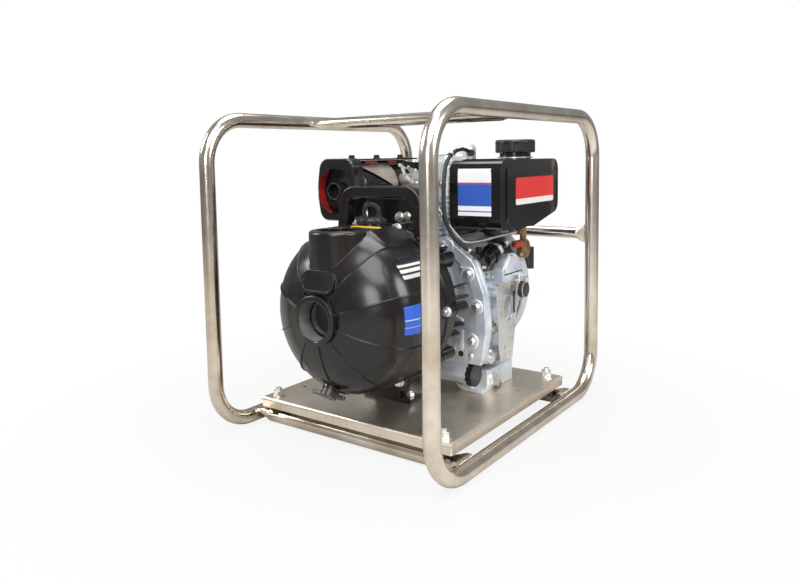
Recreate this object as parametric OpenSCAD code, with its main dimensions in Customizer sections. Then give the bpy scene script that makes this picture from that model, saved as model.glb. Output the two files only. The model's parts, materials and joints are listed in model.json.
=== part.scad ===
// Engine driven transfer pump in a round tube carrying frame.
// X runs across the frame, Y from the suction port to the engine's starter, Z up.
// The origin is on the ground, midway between the two tube loops.

/* [Frame] */
// Distance between the centre lines of the two tube loops
loop_gap = 436; // [430:2:460]
// Overall length of a tube loop
frame_len = 606.4; // [600:0.4:640]
// Overall height of a tube loop
frame_h = 549.6; // [546:0.4:580]
// Outer diameter of the loop tube
tube_d = 25.4; // [24.6:0.2:26.6]
// Wall of the loop tube
tube_wall = 1.6; // [1.2:0.2:2.4]
// Centre line radius of the bends in a loop
bend_r = 75; // [65:1:90]
// Outer diameter of the two upper cross tubes
cross_d = 21.3; // [19:0.1:24]
// Width of the flattened end of an upper cross tube
cross_flat_w = 33; // [30:1:38]
// Width of the flattened end of a base tube
base_flat_w = 40; // [36:1:44]
// Thickness of a flattened tube end
flat_t = 6; // [4:0.5:8]
// Length over which a tube end goes flat
flat_run = 16; // [12:1:18]
// Place of the top cross tube along the frame
top_cross_y = -29; // [-60:1:0]
// Drop of the top cross tube below the loop's centre line
top_cross_drop = 3; // [0:0.5:4]
// Height of the rear cross tube
rear_cross_z = 313; // [300:1:340]

/* [Base plate] */
// Width of the base plate
plate_w = 395; // [388:1:398]
// Length of the base plate
plate_len = 407; // [400:1:420]
// Thickness of the plate's sheet
plate_t = 3; // [2:0.5:4]
// Depth of the folded edge
lip_h = 17.5; // [14:0.5:20]
// Outer radius of the folded edge
lip_r = 6; // [4:0.5:8]
// Distance of a rubber mount from the frame's middle line
mount_x = 172; // [166:1:173]
// Diameter of a rubber mount
mount_d = 26; // [22:1:28]
// Height of the rubber between base tube and plate
mount_h = 21.1; // [19:0.1:26]
// Diameter of the stud in a rubber mount
stud_d = 10; // [8:1:10]

/* [Pump] */
// Height of the shaft above the base plate
shaft_h = 173.5; // [173:0.5:180]
// Outer radius of the pump casing
casing_r = 134; // [132:0.5:135]
// Wall of the pump casing
casing_wall = 8; // [6:0.5:9]
// Depth of the casing's rounded front
dome_depth = 83; // [80:1:86]
// Distance from the frame's middle to the suction port's face
port_reach = 280; // [277:1:286]
// Length by which the suction port stands out of the rounded front
port_stand = 7; // [5:1:9]
// Outer diameter of the suction port's ring
port_ring_d = 78.8; // [76:0.2:84]
// Bore of the suction and discharge ports
port_d = 60; // [56:1:62]
// Distance from the suction port's face to the middle of the discharge tower
tower_back = 63; // [61:1:66]
// Outer diameter of the discharge tower
tower_d = 92; // [86:1:94]
// Number of ribs that fan out over the casing
rib_count = 10; // [10]
// Width of a casing rib
rib_w = 2.6; // [2:0.2:4]
// Height of a casing rib
rib_h = 2.2; // [1.4:0.2:3]
// Distance from the frame's middle to the fill cap
fill_reach = 130; // [128:1:134]
// Bore under the fill cap
fill_d = 36; // [32:1:38]
// Bore under the drain cap
drain_d = 16; // [14:1:18]
// Number of bolts round the casing
casing_bolt_count = 10; // [10]
// Radius of the circle of casing bolts
casing_bolt_r = 136; // [135:0.5:137]
// Diameter of a casing bolt
casing_bolt_d = 8; // [6:1:8]
// Thickness of the casing gasket
gasket_t = 2; // [1:0.5:3]
// Radius of the impeller
impeller_r = 70; // [64:1:76]
// Number of impeller vanes
vane_count = 5; // [4:1:6]
// Diameter of the suction flap
flap_d = 68; // [66:1:72]
// Half of the handle's outer width at its top
handle_half_w = 84; // [82:1:86]
// Height of the handle's top above the shaft
handle_top = 198; // [192:1:204]
// Thickness of the handle's bar
handle_t = 20; // [16:1:22]
// Depth of the handle's bar
handle_depth = 24; // [20:1:26]

/* [Engine] */
// Diameter of the shaft through the pump
shaft_d = 25; // [22:1:26]
// Diameter of the shaft behind the crank
crank_d = 30; // [28:1:32]
// Outer diameter of a main bearing
bearing_d = 44; // [42:1:48]
// Distance from the frame's middle to the crankcase's rear face
case_len = 140; // [136:1:140]
// Thickness of the crankcase cover
cover_t = 14; // [12:0.5:15]
// Radius of the flywheel
flywheel_r = 112; // [106:1:114]
// Number of fan blades on the flywheel
blade_count = 18; // [12:1:20]
// Radius of the fan housing
fan_r = 144; // [142:1:145]
// Wall of the fan housing and the starter cover
sheet_t = 3; // [2:0.5:3]
// Radius of the starter cover
starter_r = 105; // [100:1:108]
// Number of slots in the starter cover
slot_count = 20; // [12:1:22]
// Radius on the pulley at which the starter rope runs
rope_r = 46; // [44:1:48]
// Diameter of the starter rope
rope_d = 4; // [3:0.5:4]
// Number of cooling fins on the cylinder
fin_count = 9; // [7:1:10]
// Thickness of a cooling fin
fin_t = 3; // [2:0.5:3.5]

/* [Tank and exhaust] */
// Width of the fuel tank
tank_w = 96; // [90:1:100]
// Length of the fuel tank
tank_len = 234; // [226:1:240]
// Height of the fuel tank
tank_h = 118; // [112:1:124]
// Radius of the tank's edges
tank_edge_r = 20; // [16:1:24]
// Wall of the fuel tank
tank_wall = 2.5; // [2:0.5:4]
// Diameter of the fuel cap
fuel_cap_d = 72; // [66:1:76]
// Radius of the muffler
muffler_r = 48; // [44:1:48]
// Length of the muffler
muffler_len = 190; // [184:1:192]
// Outer diameter of the exhaust outlet
tail_d = 32; // [28:1:34]
// Diameter of the deep recess round the exhaust outlet
recess_d = 84; // [78:1:84]

/* [Clearances] */
// Gap between pieces that seat on curved faces
seat_gap = 0.3; // [0.2:0.05:0.4]
// Gap between a shaft or pin and the hole that it runs in
run_gap = 0.05; // [0.02:0.01:0.1]
// Gap round a bolt in its hole
bolt_gap = 0.4; // [0.3:0.1:0.6]

/* [Hidden] */
$fn = 48;

tube_r = tube_d / 2;
loop_x = loop_gap / 2;
loop_y = frame_len / 2 - tube_r;
loop_top = frame_h - tube_r;
plate_top = tube_d + mount_h + plate_t;
plate_mid_y = -2.5;
base_bar_y = plate_len / 2 - lip_r - mount_d / 2;
base_bar_ys = [plate_mid_y - base_bar_y, plate_mid_y + base_bar_y];
axis_z = plate_top + shaft_h;
corner_steps = 6;
dome_steps = 20;
dome_power = 2.1;

// Face places along Y, from the suction port to the starter
port_face = -port_reach;
seat_face = port_face + 35;
dome_back = port_reach - port_stand - dome_depth;
tower_y = port_face + tower_back;
fill_y = -fill_reach;
adapter_face = -99;
casing_end = adapter_face - gasket_t;
lug_front = casing_end - 14;
adapter_back = -6;
case_front = cover_t;
fan_back = case_len + 63;
starter_back = fan_back + 29;
rope_y = fan_back + 10;
handle_y = adapter_face - 1;
deck_top = casing_r;
fill_top = deck_top + 3;

// Heights above the shaft
foot_z = -shaft_h;
case_low = -143;
case_top = 99;
fins_top = case_top + 78;
head_top = fins_top + 38;
rocker_top = head_top + 32;
duct_top = case_top + 48;
tank_bottom = 120;
tank_x = 84;
tank_y = -19;
cap_pos = [tank_x + tank_w / 2 - 2, tank_y + 156];
cylinder_x = 6;
cylinder_y = 78;
muffler_pos = [-138, 189];
muffler_y = -30;
air_pos = [-60, 203];

// Outline of the crankcase seen along the shaft, with the radius of each corner
case_pts = [
  [-118, case_low, 10], [118, case_low, 10], [134, -111, 14], [142, -53, 20], [138, 7, 24],
  [118, 62, 26], [70, case_top, 12], [-70, case_top, 12], [-112, 62, 26], [-130, 7, 24],
  [-132, -63, 20], [-126, -113, 14]
];
// Places of the bolts round the crankcase cover
cover_bolt_pts = [
  [108, 42], [124, -14], [115, -75], [36, -124], [-58, -120], [-112, -78], [-118, -14], [-102, 44],
  [-52, 84], [56, 84]
];
filler_pos = [12, -139];

function unit(v) = v / norm(v);
function flat2(p) = [p.x, p.y];

// Points of the arc that rounds corner c between its neighbours p and q
function arc_at(p, c, q) =
  let (a = unit(flat2(p) - flat2(c)), b = unit(flat2(q) - flat2(c)))
  let (half = acos(a * b) / 2, mid = flat2(c) + unit(a + b) * c.z / sin(half))
  let (s = flat2(c) + a * c.z / tan(half) - mid, e = flat2(c) + b * c.z / tan(half) - mid)
  let (from = atan2(s.y, s.x), turn = (atan2(e.y, e.x) - from + 540) % 360 - 180)
  [for (k = [0:corner_steps])
    mid + c.z * [cos(from + turn * k / corner_steps), sin(from + turn * k / corner_steps)]];

// Outline through points [x, y, corner radius]
function rounded(pts) = [
  for (i = [0:len(pts) - 1])
    each (pts[i].z == 0 ? [flat2(pts[i])]
      : arc_at(pts[(i + len(pts) - 1) % len(pts)], pts[i], pts[(i + 1) % len(pts)]))
];
function box_pts(x0, y0, x1, y1, r) = rounded([[x0, y0, r], [x1, y0, r], [x1, y1, r], [x0, y1, r]]);
function shrunk(pts, f, mid) = [for (p = pts) mid + (p - mid) * f];

// Extrusions along X of a (y, z) outline and along Y of an (x, z) outline
module along_x(x0, x1) translate([x0, 0, 0]) rotate([90, 0, 90]) linear_extrude(x1 - x0) children();
module along_y(y0, y1) translate([0, y1, 0]) rotate([90, 0, 0]) linear_extrude(y1 - y0) children();
// Body turned round the Y axis from an outline of (radius, y)
module turned_y() rotate([-90, 0, 0]) rotate_extrude() children();
module rod_x(x0, x1, d) translate([x0, 0, 0]) rotate([0, 90, 0]) cylinder(h = x1 - x0, d = d);
module rod_y(y0, y1, d) translate([0, y0, 0]) rotate([-90, 0, 0]) cylinder(h = y1 - y0, d = d);
module rod_z(z0, z1, d) translate([0, 0, z0]) cylinder(h = z1 - z0, d = d);
module hex_x(x0, x1, d) translate([x0, 0, 0]) rotate([0, 90, 0]) cylinder(h = x1 - x0, d = d, $fn = 6);
module hex_y(y0, y1, d) translate([0, y0, 0]) rotate([-90, 0, 0]) cylinder(h = y1 - y0, d = d, $fn = 6);
module hex_z(z0, z1, d) translate([0, 0, z0]) cylinder(h = z1 - z0, d = d, $fn = 6);
module block(lo, hi) translate(lo) cube(hi - lo);
module on_shaft() translate([0, 0, axis_z]) children();
module round_steps(count, radius, start) {
  for (k = [0:count - 1]) {
    angle = start + k * 360 / count;
    translate([radius * cos(angle), 0, radius * sin(angle)]) children();
  }
}

// Tube swept along a smoothed path
function smooth_path(p) = [
  for (i = [0:len(p) - 2], t = [0:0.25:0.99])
    let (a = p[max(i - 1, 0)], b = p[i], c = p[i + 1], d = p[min(i + 2, len(p) - 1)])
      b + (c - a) * t / 2 + (2 * a - 5 * b + 4 * c - d) * t * t / 2 + (3 * b - a - 3 * c + d) * t * t * t / 2,
  p[len(p) - 1]
];
function path_way(p, i) = unit(p[min(i + 1, len(p) - 1)] - p[max(i - 1, 0)]);
function carried(v, way) = unit(v - way * (v * way));
function side_list(p, i, v) =
  i == len(p) ? [] : let (s = carried(v, path_way(p, i))) concat([s], side_list(p, i + 1, s));
module swept_tube(points, r, sides) {
  path = smooth_path(points);
  side = side_list(path, 0, [0.31, 0.87, 0.38]);
  rings = len(path);
  ring_pts = [
    for (i = [0:rings - 1], k = [0:sides - 1])
      let (a = 360 * k / sides)
        path[i] + r * (side[i] * cos(a) + cross(path_way(path, i), side[i]) * sin(a))
  ];
  skin = [
    for (i = [0:rings - 2], k = [0:sides - 1])
      let (n = (k + 1) % sides) each [
        [i * sides + k, i * sides + n, (i + 1) * sides + n],
        [i * sides + k, (i + 1) * sides + n, (i + 1) * sides + k]
      ]
  ];
  ends = [[for (k = [sides - 1:-1:0]) k], [for (k = [0:sides - 1]) (rings - 1) * sides + k]];
  polyhedron(ring_pts, concat([for (f = skin) [f[2], f[1], f[0]]], [for (f = ends)
    [for (j = [len(f) - 1:-1:0]) f[j]]]));
}

// Solid bar along the closed path of a loop
module loop_bar(d) {
  for (z = [tube_r, loop_top]) translate([0, 0, z]) rod_y(bend_r - loop_y, loop_y - bend_r, d);
  for (y = [-loop_y, loop_y]) translate([0, y, 0]) rod_z(tube_r + bend_r, loop_top - bend_r, d);
  for (k = [0:3]) {
    side = k == 0 || k == 3 ? 1 : -1;
    z = k < 2 ? loop_top - bend_r : tube_r + bend_r;
    translate([0, side * (loop_y - bend_r), z]) rotate([90 * k, 0, 0]) rotate([90, 0, 90])
      rotate_extrude(angle = 90) translate([bend_r, 0]) circle(d = d);
  }
}
module tube_loop() difference() {
  loop_bar(tube_d);
  loop_bar(tube_d - 2 * tube_wall);
}
module loop_left() color("#b9ae9c") translate([-loop_x, 0, 0]) tube_loop();
module loop_right() color("#b9ae9c") translate([loop_x, 0, 0]) tube_loop();

// Cross tube along X whose ends are pressed flat, with the flats moved up by lift
module flat_end_tube(d, flat_w, lift) {
  start = loop_x - tube_r - flat_run;
  difference() {
    rod_x(-start, start, d);
    rod_x(1 - start, start - 1, d - 2 * tube_wall);
  }
  for (s = [-1, 1]) {
    hull() {
      translate([s * (start - 0.5), 0, 0]) rotate([0, 90, 0]) cylinder(h = 1, d = d, center = true, $fn = 32);
      translate([s * (start + flat_run - 4), 0, lift]) cube([1, flat_w, flat_t], center = true);
    }
    translate([s * (start + flat_run), 0, lift]) cube([8, flat_w, flat_t], center = true);
  }
}
module top_crossbar() color("#b9ae9c") difference() {
  translate([0, top_cross_y, loop_top - top_cross_drop]) flat_end_tube(cross_d, cross_flat_w, 0);
  for (x = [-loop_x, loop_x]) translate([x, 0, loop_top]) rod_y(-loop_y, loop_y, tube_d + 2 * seat_gap);
}
module rear_crossbar() color("#b9ae9c") difference() {
  translate([0, loop_y, rear_cross_z]) rotate([90, 0, 0]) flat_end_tube(cross_d, cross_flat_w, 0);
  for (x = [-loop_x, loop_x]) translate([x, loop_y, 0]) rod_z(0, loop_top, tube_d + 2 * seat_gap);
}
module base_bar(y) difference() {
  translate([0, y, tube_r]) flat_end_tube(tube_d, base_flat_w, tube_r - flat_t / 2);
  for (x = [-loop_x, loop_x]) translate([x, 0, tube_r]) rod_y(-loop_y, loop_y, tube_d + 2 * seat_gap);
}
module front_base_bar() color("#b9ae9c") base_bar(base_bar_ys[0]);
module rear_base_bar() color("#b9ae9c") base_bar(base_bar_ys[1]);

mount_pts = [for (x = [-mount_x, mount_x], y = base_bar_ys) [x, y]];
engine_foot_pts = [for (x = [-104, 104], y = [40, 112]) [x, y]];
pump_foot_pts = [for (x = [-38, 38]) [x, adapter_face + 20]];
foot_bolt_d = 8;

// Closed folded form of the plate, drawn in by inset
module folded_form(inset) {
  w = plate_w / 2 - inset;
  l = plate_len / 2 - inset;
  r = lip_r - inset;
  intersection() {
    along_y(plate_mid_y - l, plate_mid_y + l)
      polygon(rounded([[-w, -lip_h - inset, 0], [w, -lip_h - inset, 0], [w, -inset, r], [-w, -inset, r]]));
    along_x(-w, w) translate([plate_mid_y, 0])
      polygon(rounded([[-l, -lip_h - inset, 0], [l, -lip_h - inset, 0], [l, -inset, r], [-l, -inset, r]]));
  }
}
module base_plate() color("#b8ab97") translate([0, 0, plate_top]) difference() {
  folded_form(0);
  folded_form(plate_t);
  for (x = [-1, 1], y = [-1, 1])
    translate([x * plate_w / 2, plate_mid_y + y * plate_len / 2, 0]) rod_z(-lip_h - 1, -lip_r, 2 * plate_t);
  for (p = mount_pts) translate(p) rod_z(-plate_t - 1, 1, stud_d + 2 * bolt_gap);
  for (p = engine_foot_pts) translate(p) rod_z(-plate_t - 1, 1, foot_bolt_d + 2 * bolt_gap);
  for (p = pump_foot_pts) translate(p) rod_z(-plate_t - 1, 1, foot_bolt_d + 2 * bolt_gap);
  for (x = [-168, 168], y = [-124, 74]) translate([x, y, 0]) rod_z(-plate_t - 1, 1, 7);
  translate([0, 0, -plate_t - 1]) linear_extrude(plate_t + 2) polygon(box_pts(-44, -84, -24, -75, 4));
}
module rubber_mounts() color("#1c1c1c") for (p = mount_pts) difference() {
  translate(p) rod_z(tube_r + 6, plate_top - plate_t, mount_d);
  translate([0, p.y, tube_r]) rod_x(p.x - mount_d, p.x + mount_d, tube_d + seat_gap);
  translate(p) rod_z(plate_top - plate_t - 13, plate_top, stud_d + bolt_gap);
}
module mount_nuts() color("silver") for (p = mount_pts) translate([p.x, p.y, plate_top]) {
  rod_z(-plate_t - 12, 15, stud_d);
  rod_z(0, 2, 2.2 * stud_d);
  hex_z(2, 10, 1.9 * stud_d);
}

// Front of the casing as (radius, y) points, for a shell drawn in by inset
function dome_pts(inset) = [
  for (k = [0:dome_steps])
    let (t = 90 * k / dome_steps)
      [(casing_r - inset) * pow(sin(t), 2 / dome_power), -dome_back - (dome_depth - inset) * pow(cos(t),
        2 / dome_power)]
];
module dome_solid(inset, end) turned_y() polygon(concat(dome_pts(inset), [[casing_r - inset, end], [0,
  end]]));
module casing_rib(angle) rotate([0, -angle, 0]) translate([0, 0, -rib_w / 2]) linear_extrude(rib_w)
  difference() {
    polygon(concat(dome_pts(-rib_h), [[casing_r + rib_h, lug_front], [0, lug_front]]));
    polygon(concat(dome_pts(casing_wall / 2), [[casing_r - casing_wall / 2, casing_end], [-1,
      casing_end], [-1, port_face]]));
  }
// Slice across the raised deck behind the tower
module deck_slice(y, drop, half) along_y(y, y + 1)
  polygon([[-half, deck_top - drop], [half, deck_top - drop], [half + 54, deck_top - drop - 42], [half, 40],
    [-half, 40], [-half - 54, deck_top - drop - 42]]);
flange_step = 8;
nut_seat_d = 18;
drain_at = [-12, tower_y + 2, -105];
drain_tilt = 140;
drain_boss_len = 24;
module at_drain() translate(drain_at) rotate([drain_tilt, 0, 0]) children();
flap_y = seat_face + 5;
flap_z = flap_d / 2 + 7;
flap_pin_d = 5;
port_thread = 25;
flap_bore = port_d - 8;
// Rounded pad above the suction port, drawn in by inset
module on_pad(from, to, inset) translate([0, -dome_back - dome_depth + 11, 56.5]) rotate([-16, 0, 0])
  along_y(from, to) polygon(box_pts(inset - 34, inset - 18, 32 - inset, 18 - inset, 14 - inset));
module pump_casing() color("#26221f") on_shaft() {
  difference() {
    union() {
      dome_solid(0, casing_end);
      rod_y(port_face, port_face + 9, port_ring_d);
      rod_y(port_face + 9, -dome_back, port_ring_d - 4);
      turned_y() polygon([[casing_r - 4, lug_front], [casing_r + 2.5, lug_front + 2], [casing_r + 2.5,
        casing_end], [casing_r - 4, casing_end]]);
      translate([0, tower_y, 0]) rotate_extrude()
        polygon(rounded([[0, 0, 0], [tower_d / 2, 0, 0], [tower_d / 2, deck_top, 5], [0, deck_top, 0]]));
      hull() {
        deck_slice(lug_front - 2, 0, tower_d / 2);
        deck_slice(-dome_back - 2, 1, tower_d / 2);
        deck_slice(tower_y - 10, 22, tower_d / 2 - 22);
      }
      for (k = [0:rib_count - 1]) if (k != 2) casing_rib(18 + 36 * k);
      round_steps(casing_bolt_count, casing_bolt_r, 0) rod_y(lug_front, casing_end, 19);
      on_pad(-7, 20, 0);
      at_drain() rod_z(-12, drain_boss_len, 30);
      translate([0, fill_y, 0]) rod_z(deck_top - 3, fill_top, fill_d + 12);
    }
    dome_solid(casing_wall, casing_end + 1);
    round_steps(casing_bolt_count, casing_bolt_r, 0) rod_y(lug_front - 12, lug_front, nut_seat_d);
    translate([0, tower_y, 0]) rod_z(60, deck_top + 1, port_d);
    translate([0, fill_y, 0]) rod_z(60, fill_top + 1, fill_d);
    round_steps(casing_bolt_count, casing_bolt_r, 0) rod_y(lug_front - 1, casing_end + 1,
      casing_bolt_d + 2 * bolt_gap);
    rod_y(port_face - 1, -dome_back, port_d);
    at_drain() rod_z(-30, drain_boss_len + 1, drain_d);
    on_pad(-8, -5.6, 4.5);
  }
  // Thicker inner rim behind the bolt lugs
  difference() {
    turned_y() polygon([
      [casing_r - casing_wall - flange_step, lug_front - 15], [casing_r - casing_wall + 0.5, lug_front - 25],
      [casing_r - casing_wall + 0.5, casing_end], [casing_r - casing_wall - flange_step, casing_end]
    ]);
    block([-fill_d / 2 - 3, lug_front - 30, 60], [fill_d / 2 + 3, fill_y + fill_d / 2 + 3, deck_top]);
  }
  // Collar of the discharge port inside the casing
  translate([0, tower_y, 0]) difference() {
    rod_z(deck_top - 30, deck_top - 2, port_d + 12);
    rod_z(deck_top - 31, deck_top - 1, port_d);
  }
  // Seat of the suction flap, with the two ears that hold its pin
  difference() {
    union() {
      rod_y(port_face + 16, seat_face, 104);
      for (s = [-1, 1]) block([s * 13 - 2, seat_face - 1, flap_z - 5], [s * 13 + 2, flap_y + 5,
        flap_z + 3.5]);
    }
    rod_y(port_face, port_face + port_thread, port_d);
    rod_y(port_face, seat_face + 1, flap_bore);
    translate([0, flap_y, flap_z]) rod_x(-20, 20, flap_pin_d + 2 * run_gap);
  }
}
module flap_pin() color("silver") on_shaft() translate([0, flap_y, flap_z]) rod_x(-15.5, 15.5, flap_pin_d);
module suction_flap() color("#3a3a3a") on_shaft() difference() {
  union() {
    rod_y(seat_face + seat_gap, seat_face + seat_gap + 4, flap_d);
    translate([0, flap_y, flap_z]) rod_x(-10, 10, 9);
    block([-7, seat_face + seat_gap, flap_d / 2 - 4], [7, flap_y + 1.5, flap_z]);
  }
  translate([0, flap_y, flap_z]) rod_x(-11, 11, flap_pin_d + 2 * run_gap);
}
gasket_out_r = casing_bolt_r - casing_bolt_d / 2 - bolt_gap - 1;
module casing_gasket() color("#111111") on_shaft() difference() {
  rod_y(casing_end, adapter_face, 2 * gasket_out_r);
  rod_y(casing_end - 1, adapter_face + 1, 2 * (casing_r - casing_wall - flange_step));
}

// Ridged rim of the adapter as (radius, y) points
ridge_count = 4;
ridge_pitch = 9;
ridge_step = 3.5;
function ridge_pts() = [
  for (k = [0:ridge_count - 1])
    let (r = casing_r - k * ridge_step, y = adapter_face + k * ridge_pitch)
      each [[r, y], [r, y + 5.5], [r - 6, y + 6.5], [r - 6, y + ridge_pitch]]
];
adapter_rim_back = adapter_face + ridge_count * ridge_pitch;
module pump_adapter() color("#232120") on_shaft() difference() {
  union() {
    turned_y() polygon(concat([[0, adapter_face]], ridge_pts(), [
      [casing_r - 20, adapter_rim_back + 3], [casing_r - 26, adapter_rim_back + 3],
      [casing_r - 26, adapter_face + 12], [62, adapter_face + 12], [56, adapter_back - 8],
      [76, adapter_back - 8], [76, adapter_back], [0, adapter_back]
    ]));
    for (k = [0:casing_bolt_count - 1], half = [-5, 5])
      rotate([0, -(9 + half + k * 36), 0]) translate([0, 0, -2]) linear_extrude(4)
        polygon([[50, adapter_face + 6], [117, adapter_face + 6], [117, -14], [108, -14], [94, -44],
          [50, -30]]);
    round_steps(casing_bolt_count, casing_bolt_r, 0) rod_y(adapter_face, adapter_rim_back, 19);
    round_steps(casing_bolt_count, casing_bolt_r - 12, 0) rod_y(adapter_face, adapter_rim_back, 14);
  }
  rod_y(adapter_face - 1, adapter_back + 1, 40);
  round_steps(casing_bolt_count, casing_bolt_r, 0) rod_y(adapter_face - 1, adapter_rim_back + 1,
    casing_bolt_d + 2 * bolt_gap);
}
module casing_bolts() color("silver") on_shaft() round_steps(casing_bolt_count, casing_bolt_r, 0) {
  rod_y(lug_front - 11, adapter_rim_back + 10, casing_bolt_d);
  rod_y(lug_front - 1.6, lug_front, 17);
  hex_y(lug_front - 8.6, lug_front - 1.6, 15);
  hex_y(adapter_rim_back, adapter_rim_back + 6.5, 15);
}
// Guides the water from the suction seat to the impeller's eye and round the impeller
volute_r = impeller_r + 22;
eye_d = 70;
volute_front = adapter_face - 53;
module inner_volute() color("#2d2a28") on_shaft() difference() {
  turned_y() polygon([
    [52, seat_face], [52, -188], [eye_d / 2 + 5, -164], [eye_d / 2 + 5, volute_front], [volute_r,
      volute_front],
    [volute_r, adapter_face], [volute_r - 6, adapter_face], [volute_r - 6, volute_front + 5],
    [eye_d / 2, volute_front + 5], [eye_d / 2, -162], [48, -186], [48, seat_face]
  ]);
  block([-28, volute_front + 12, volute_r - 12], [28, adapter_face - 12, volute_r + 1]);
}
vane_arc_r = impeller_r * 0.54;
impeller_back = adapter_face - 8;
module vane_shape() intersection() {
  circle(r = impeller_r - 1.5);
  translate([0, 2]) square([2 * impeller_r, impeller_r]);
  difference() {
    translate([vane_arc_r, 0]) circle(r = vane_arc_r + 2.5);
    translate([vane_arc_r, 0]) circle(r = vane_arc_r - 2.5);
  }
}
module impeller() color("#4a4642") on_shaft() difference() {
  union() {
    rod_y(impeller_back - 39, impeller_back, 38);
    rod_y(impeller_back - 5, impeller_back, 2 * impeller_r);
    for (k = [0:vane_count - 1]) rotate([0, k * 360 / vane_count, 0]) along_y(impeller_back - 31,
      impeller_back - 4) vane_shape();
    turned_y() polygon([[0, impeller_back - 50], [9, impeller_back - 48], [14, impeller_back - 39], [0,
      impeller_back - 39]]);
  }
  rod_y(impeller_back - 38, impeller_back + 1, shaft_d + 2 * run_gap);
}
module shaft_seal() color("#5b5650") on_shaft() difference() {
  union() {
    rod_y(adapter_face - 3, adapter_face, 52);
    rod_y(adapter_face, adapter_face + 14, 40 - 2 * run_gap);
  }
  rod_y(adapter_face - 4, adapter_face + 15, shaft_d + 4 * run_gap);
}

module carry_handle() color("#211f1d") on_shaft() difference() {
  union() {
    along_y(handle_y - handle_depth / 2, handle_y + handle_depth / 2) difference() {
      polygon(rounded([[-handle_half_w - 9, 90, 0], [-handle_half_w, handle_top, 34], [handle_half_w,
        handle_top, 34], [handle_half_w + 9, 90, 0]]));
      polygon(rounded([[handle_t - handle_half_w - 9, 89, 0], [handle_t - handle_half_w,
        handle_top - handle_t, 16],
        [handle_half_w - handle_t, handle_top - handle_t, 16], [handle_half_w + 9 - handle_t, 89, 0]]));
    }
    for (s = [-1, 1]) translate([s * (handle_half_w - 2), handle_y, 0]) block([-15, -17, 92], [15, 17, 113]);
  }
  rod_y(handle_y - 30, handle_y + 30, 2 * (casing_r + 2.5 + seat_gap));
}
module fill_cap() color("#1f1d1b") on_shaft() translate([0, fill_y, fill_top + seat_gap]) {
  difference() {
    union() {
      rod_z(0, 6, 52);
      rod_z(5, 9, 44);
      rod_z(-12, 1, fill_d - 2 * seat_gap);
      rotate([0, 0, 20]) {
        translate([0, 0, 19]) rod_y(-4, 4, 31);
        block([-15.5, -4, 6], [15.5, 4, 19]);
      }
    }
    for (k = [0:11]) rotate([0, 0, 30 * k]) translate([27.5, 0, 0]) rod_z(-1, 7, 7);
    rotate([0, 0, 20]) translate([0, 0, 18]) rod_y(-6, 6, 20);
  }
}
module drain_cap() color("#1f1d1b") on_shaft() at_drain() translate([0, 0, drain_boss_len + seat_gap]) {
  rod_z(-14, 1, drain_d - 2 * seat_gap);
  rod_z(0, 11, 27);
  translate([0, 0, 4]) linear_extrude(6) polygon(rounded([[-33, -3, 3], [0, -8, 4], [33, -3, 3], [33, 3,
    3], [0, 8, 4], [-33, 3, 3]]));
}
module pump_foot() color("#1f1e1d") on_shaft() difference() {
  union() {
    block([-50, adapter_face + 3, foot_z], [50, adapter_face + 39, foot_z + 8]);
    along_y(adapter_face + 3, adapter_face + 36) polygon([[-27, foot_z + 6], [27, foot_z + 6],
      [21, -100], [-21, -100]]);
  }
  rod_y(adapter_face - 1, adapter_face + 42, 2 * (casing_r + seat_gap));
  for (p = pump_foot_pts) translate(p) rod_z(foot_z - 1, foot_z + 9, foot_bolt_d + 2 * bolt_gap);
}
module foot_bolts() color("silver") on_shaft() {
  for (p = engine_foot_pts) translate(p) {
    rod_z(foot_z - plate_t - 2, foot_z + 22, foot_bolt_d);
    rod_z(foot_z - plate_t - 2, foot_z - plate_t, 18);
    hex_z(foot_z - plate_t - 8, foot_z - plate_t - 2, 15);
  }
  for (p = pump_foot_pts) translate(p) {
    rod_z(foot_z - plate_t - 6, foot_z + 18, foot_bolt_d);
    hex_z(foot_z - plate_t - 6, foot_z - plate_t, 15);
    hex_z(foot_z + 8, foot_z + 15, 15);
  }
}

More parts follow.
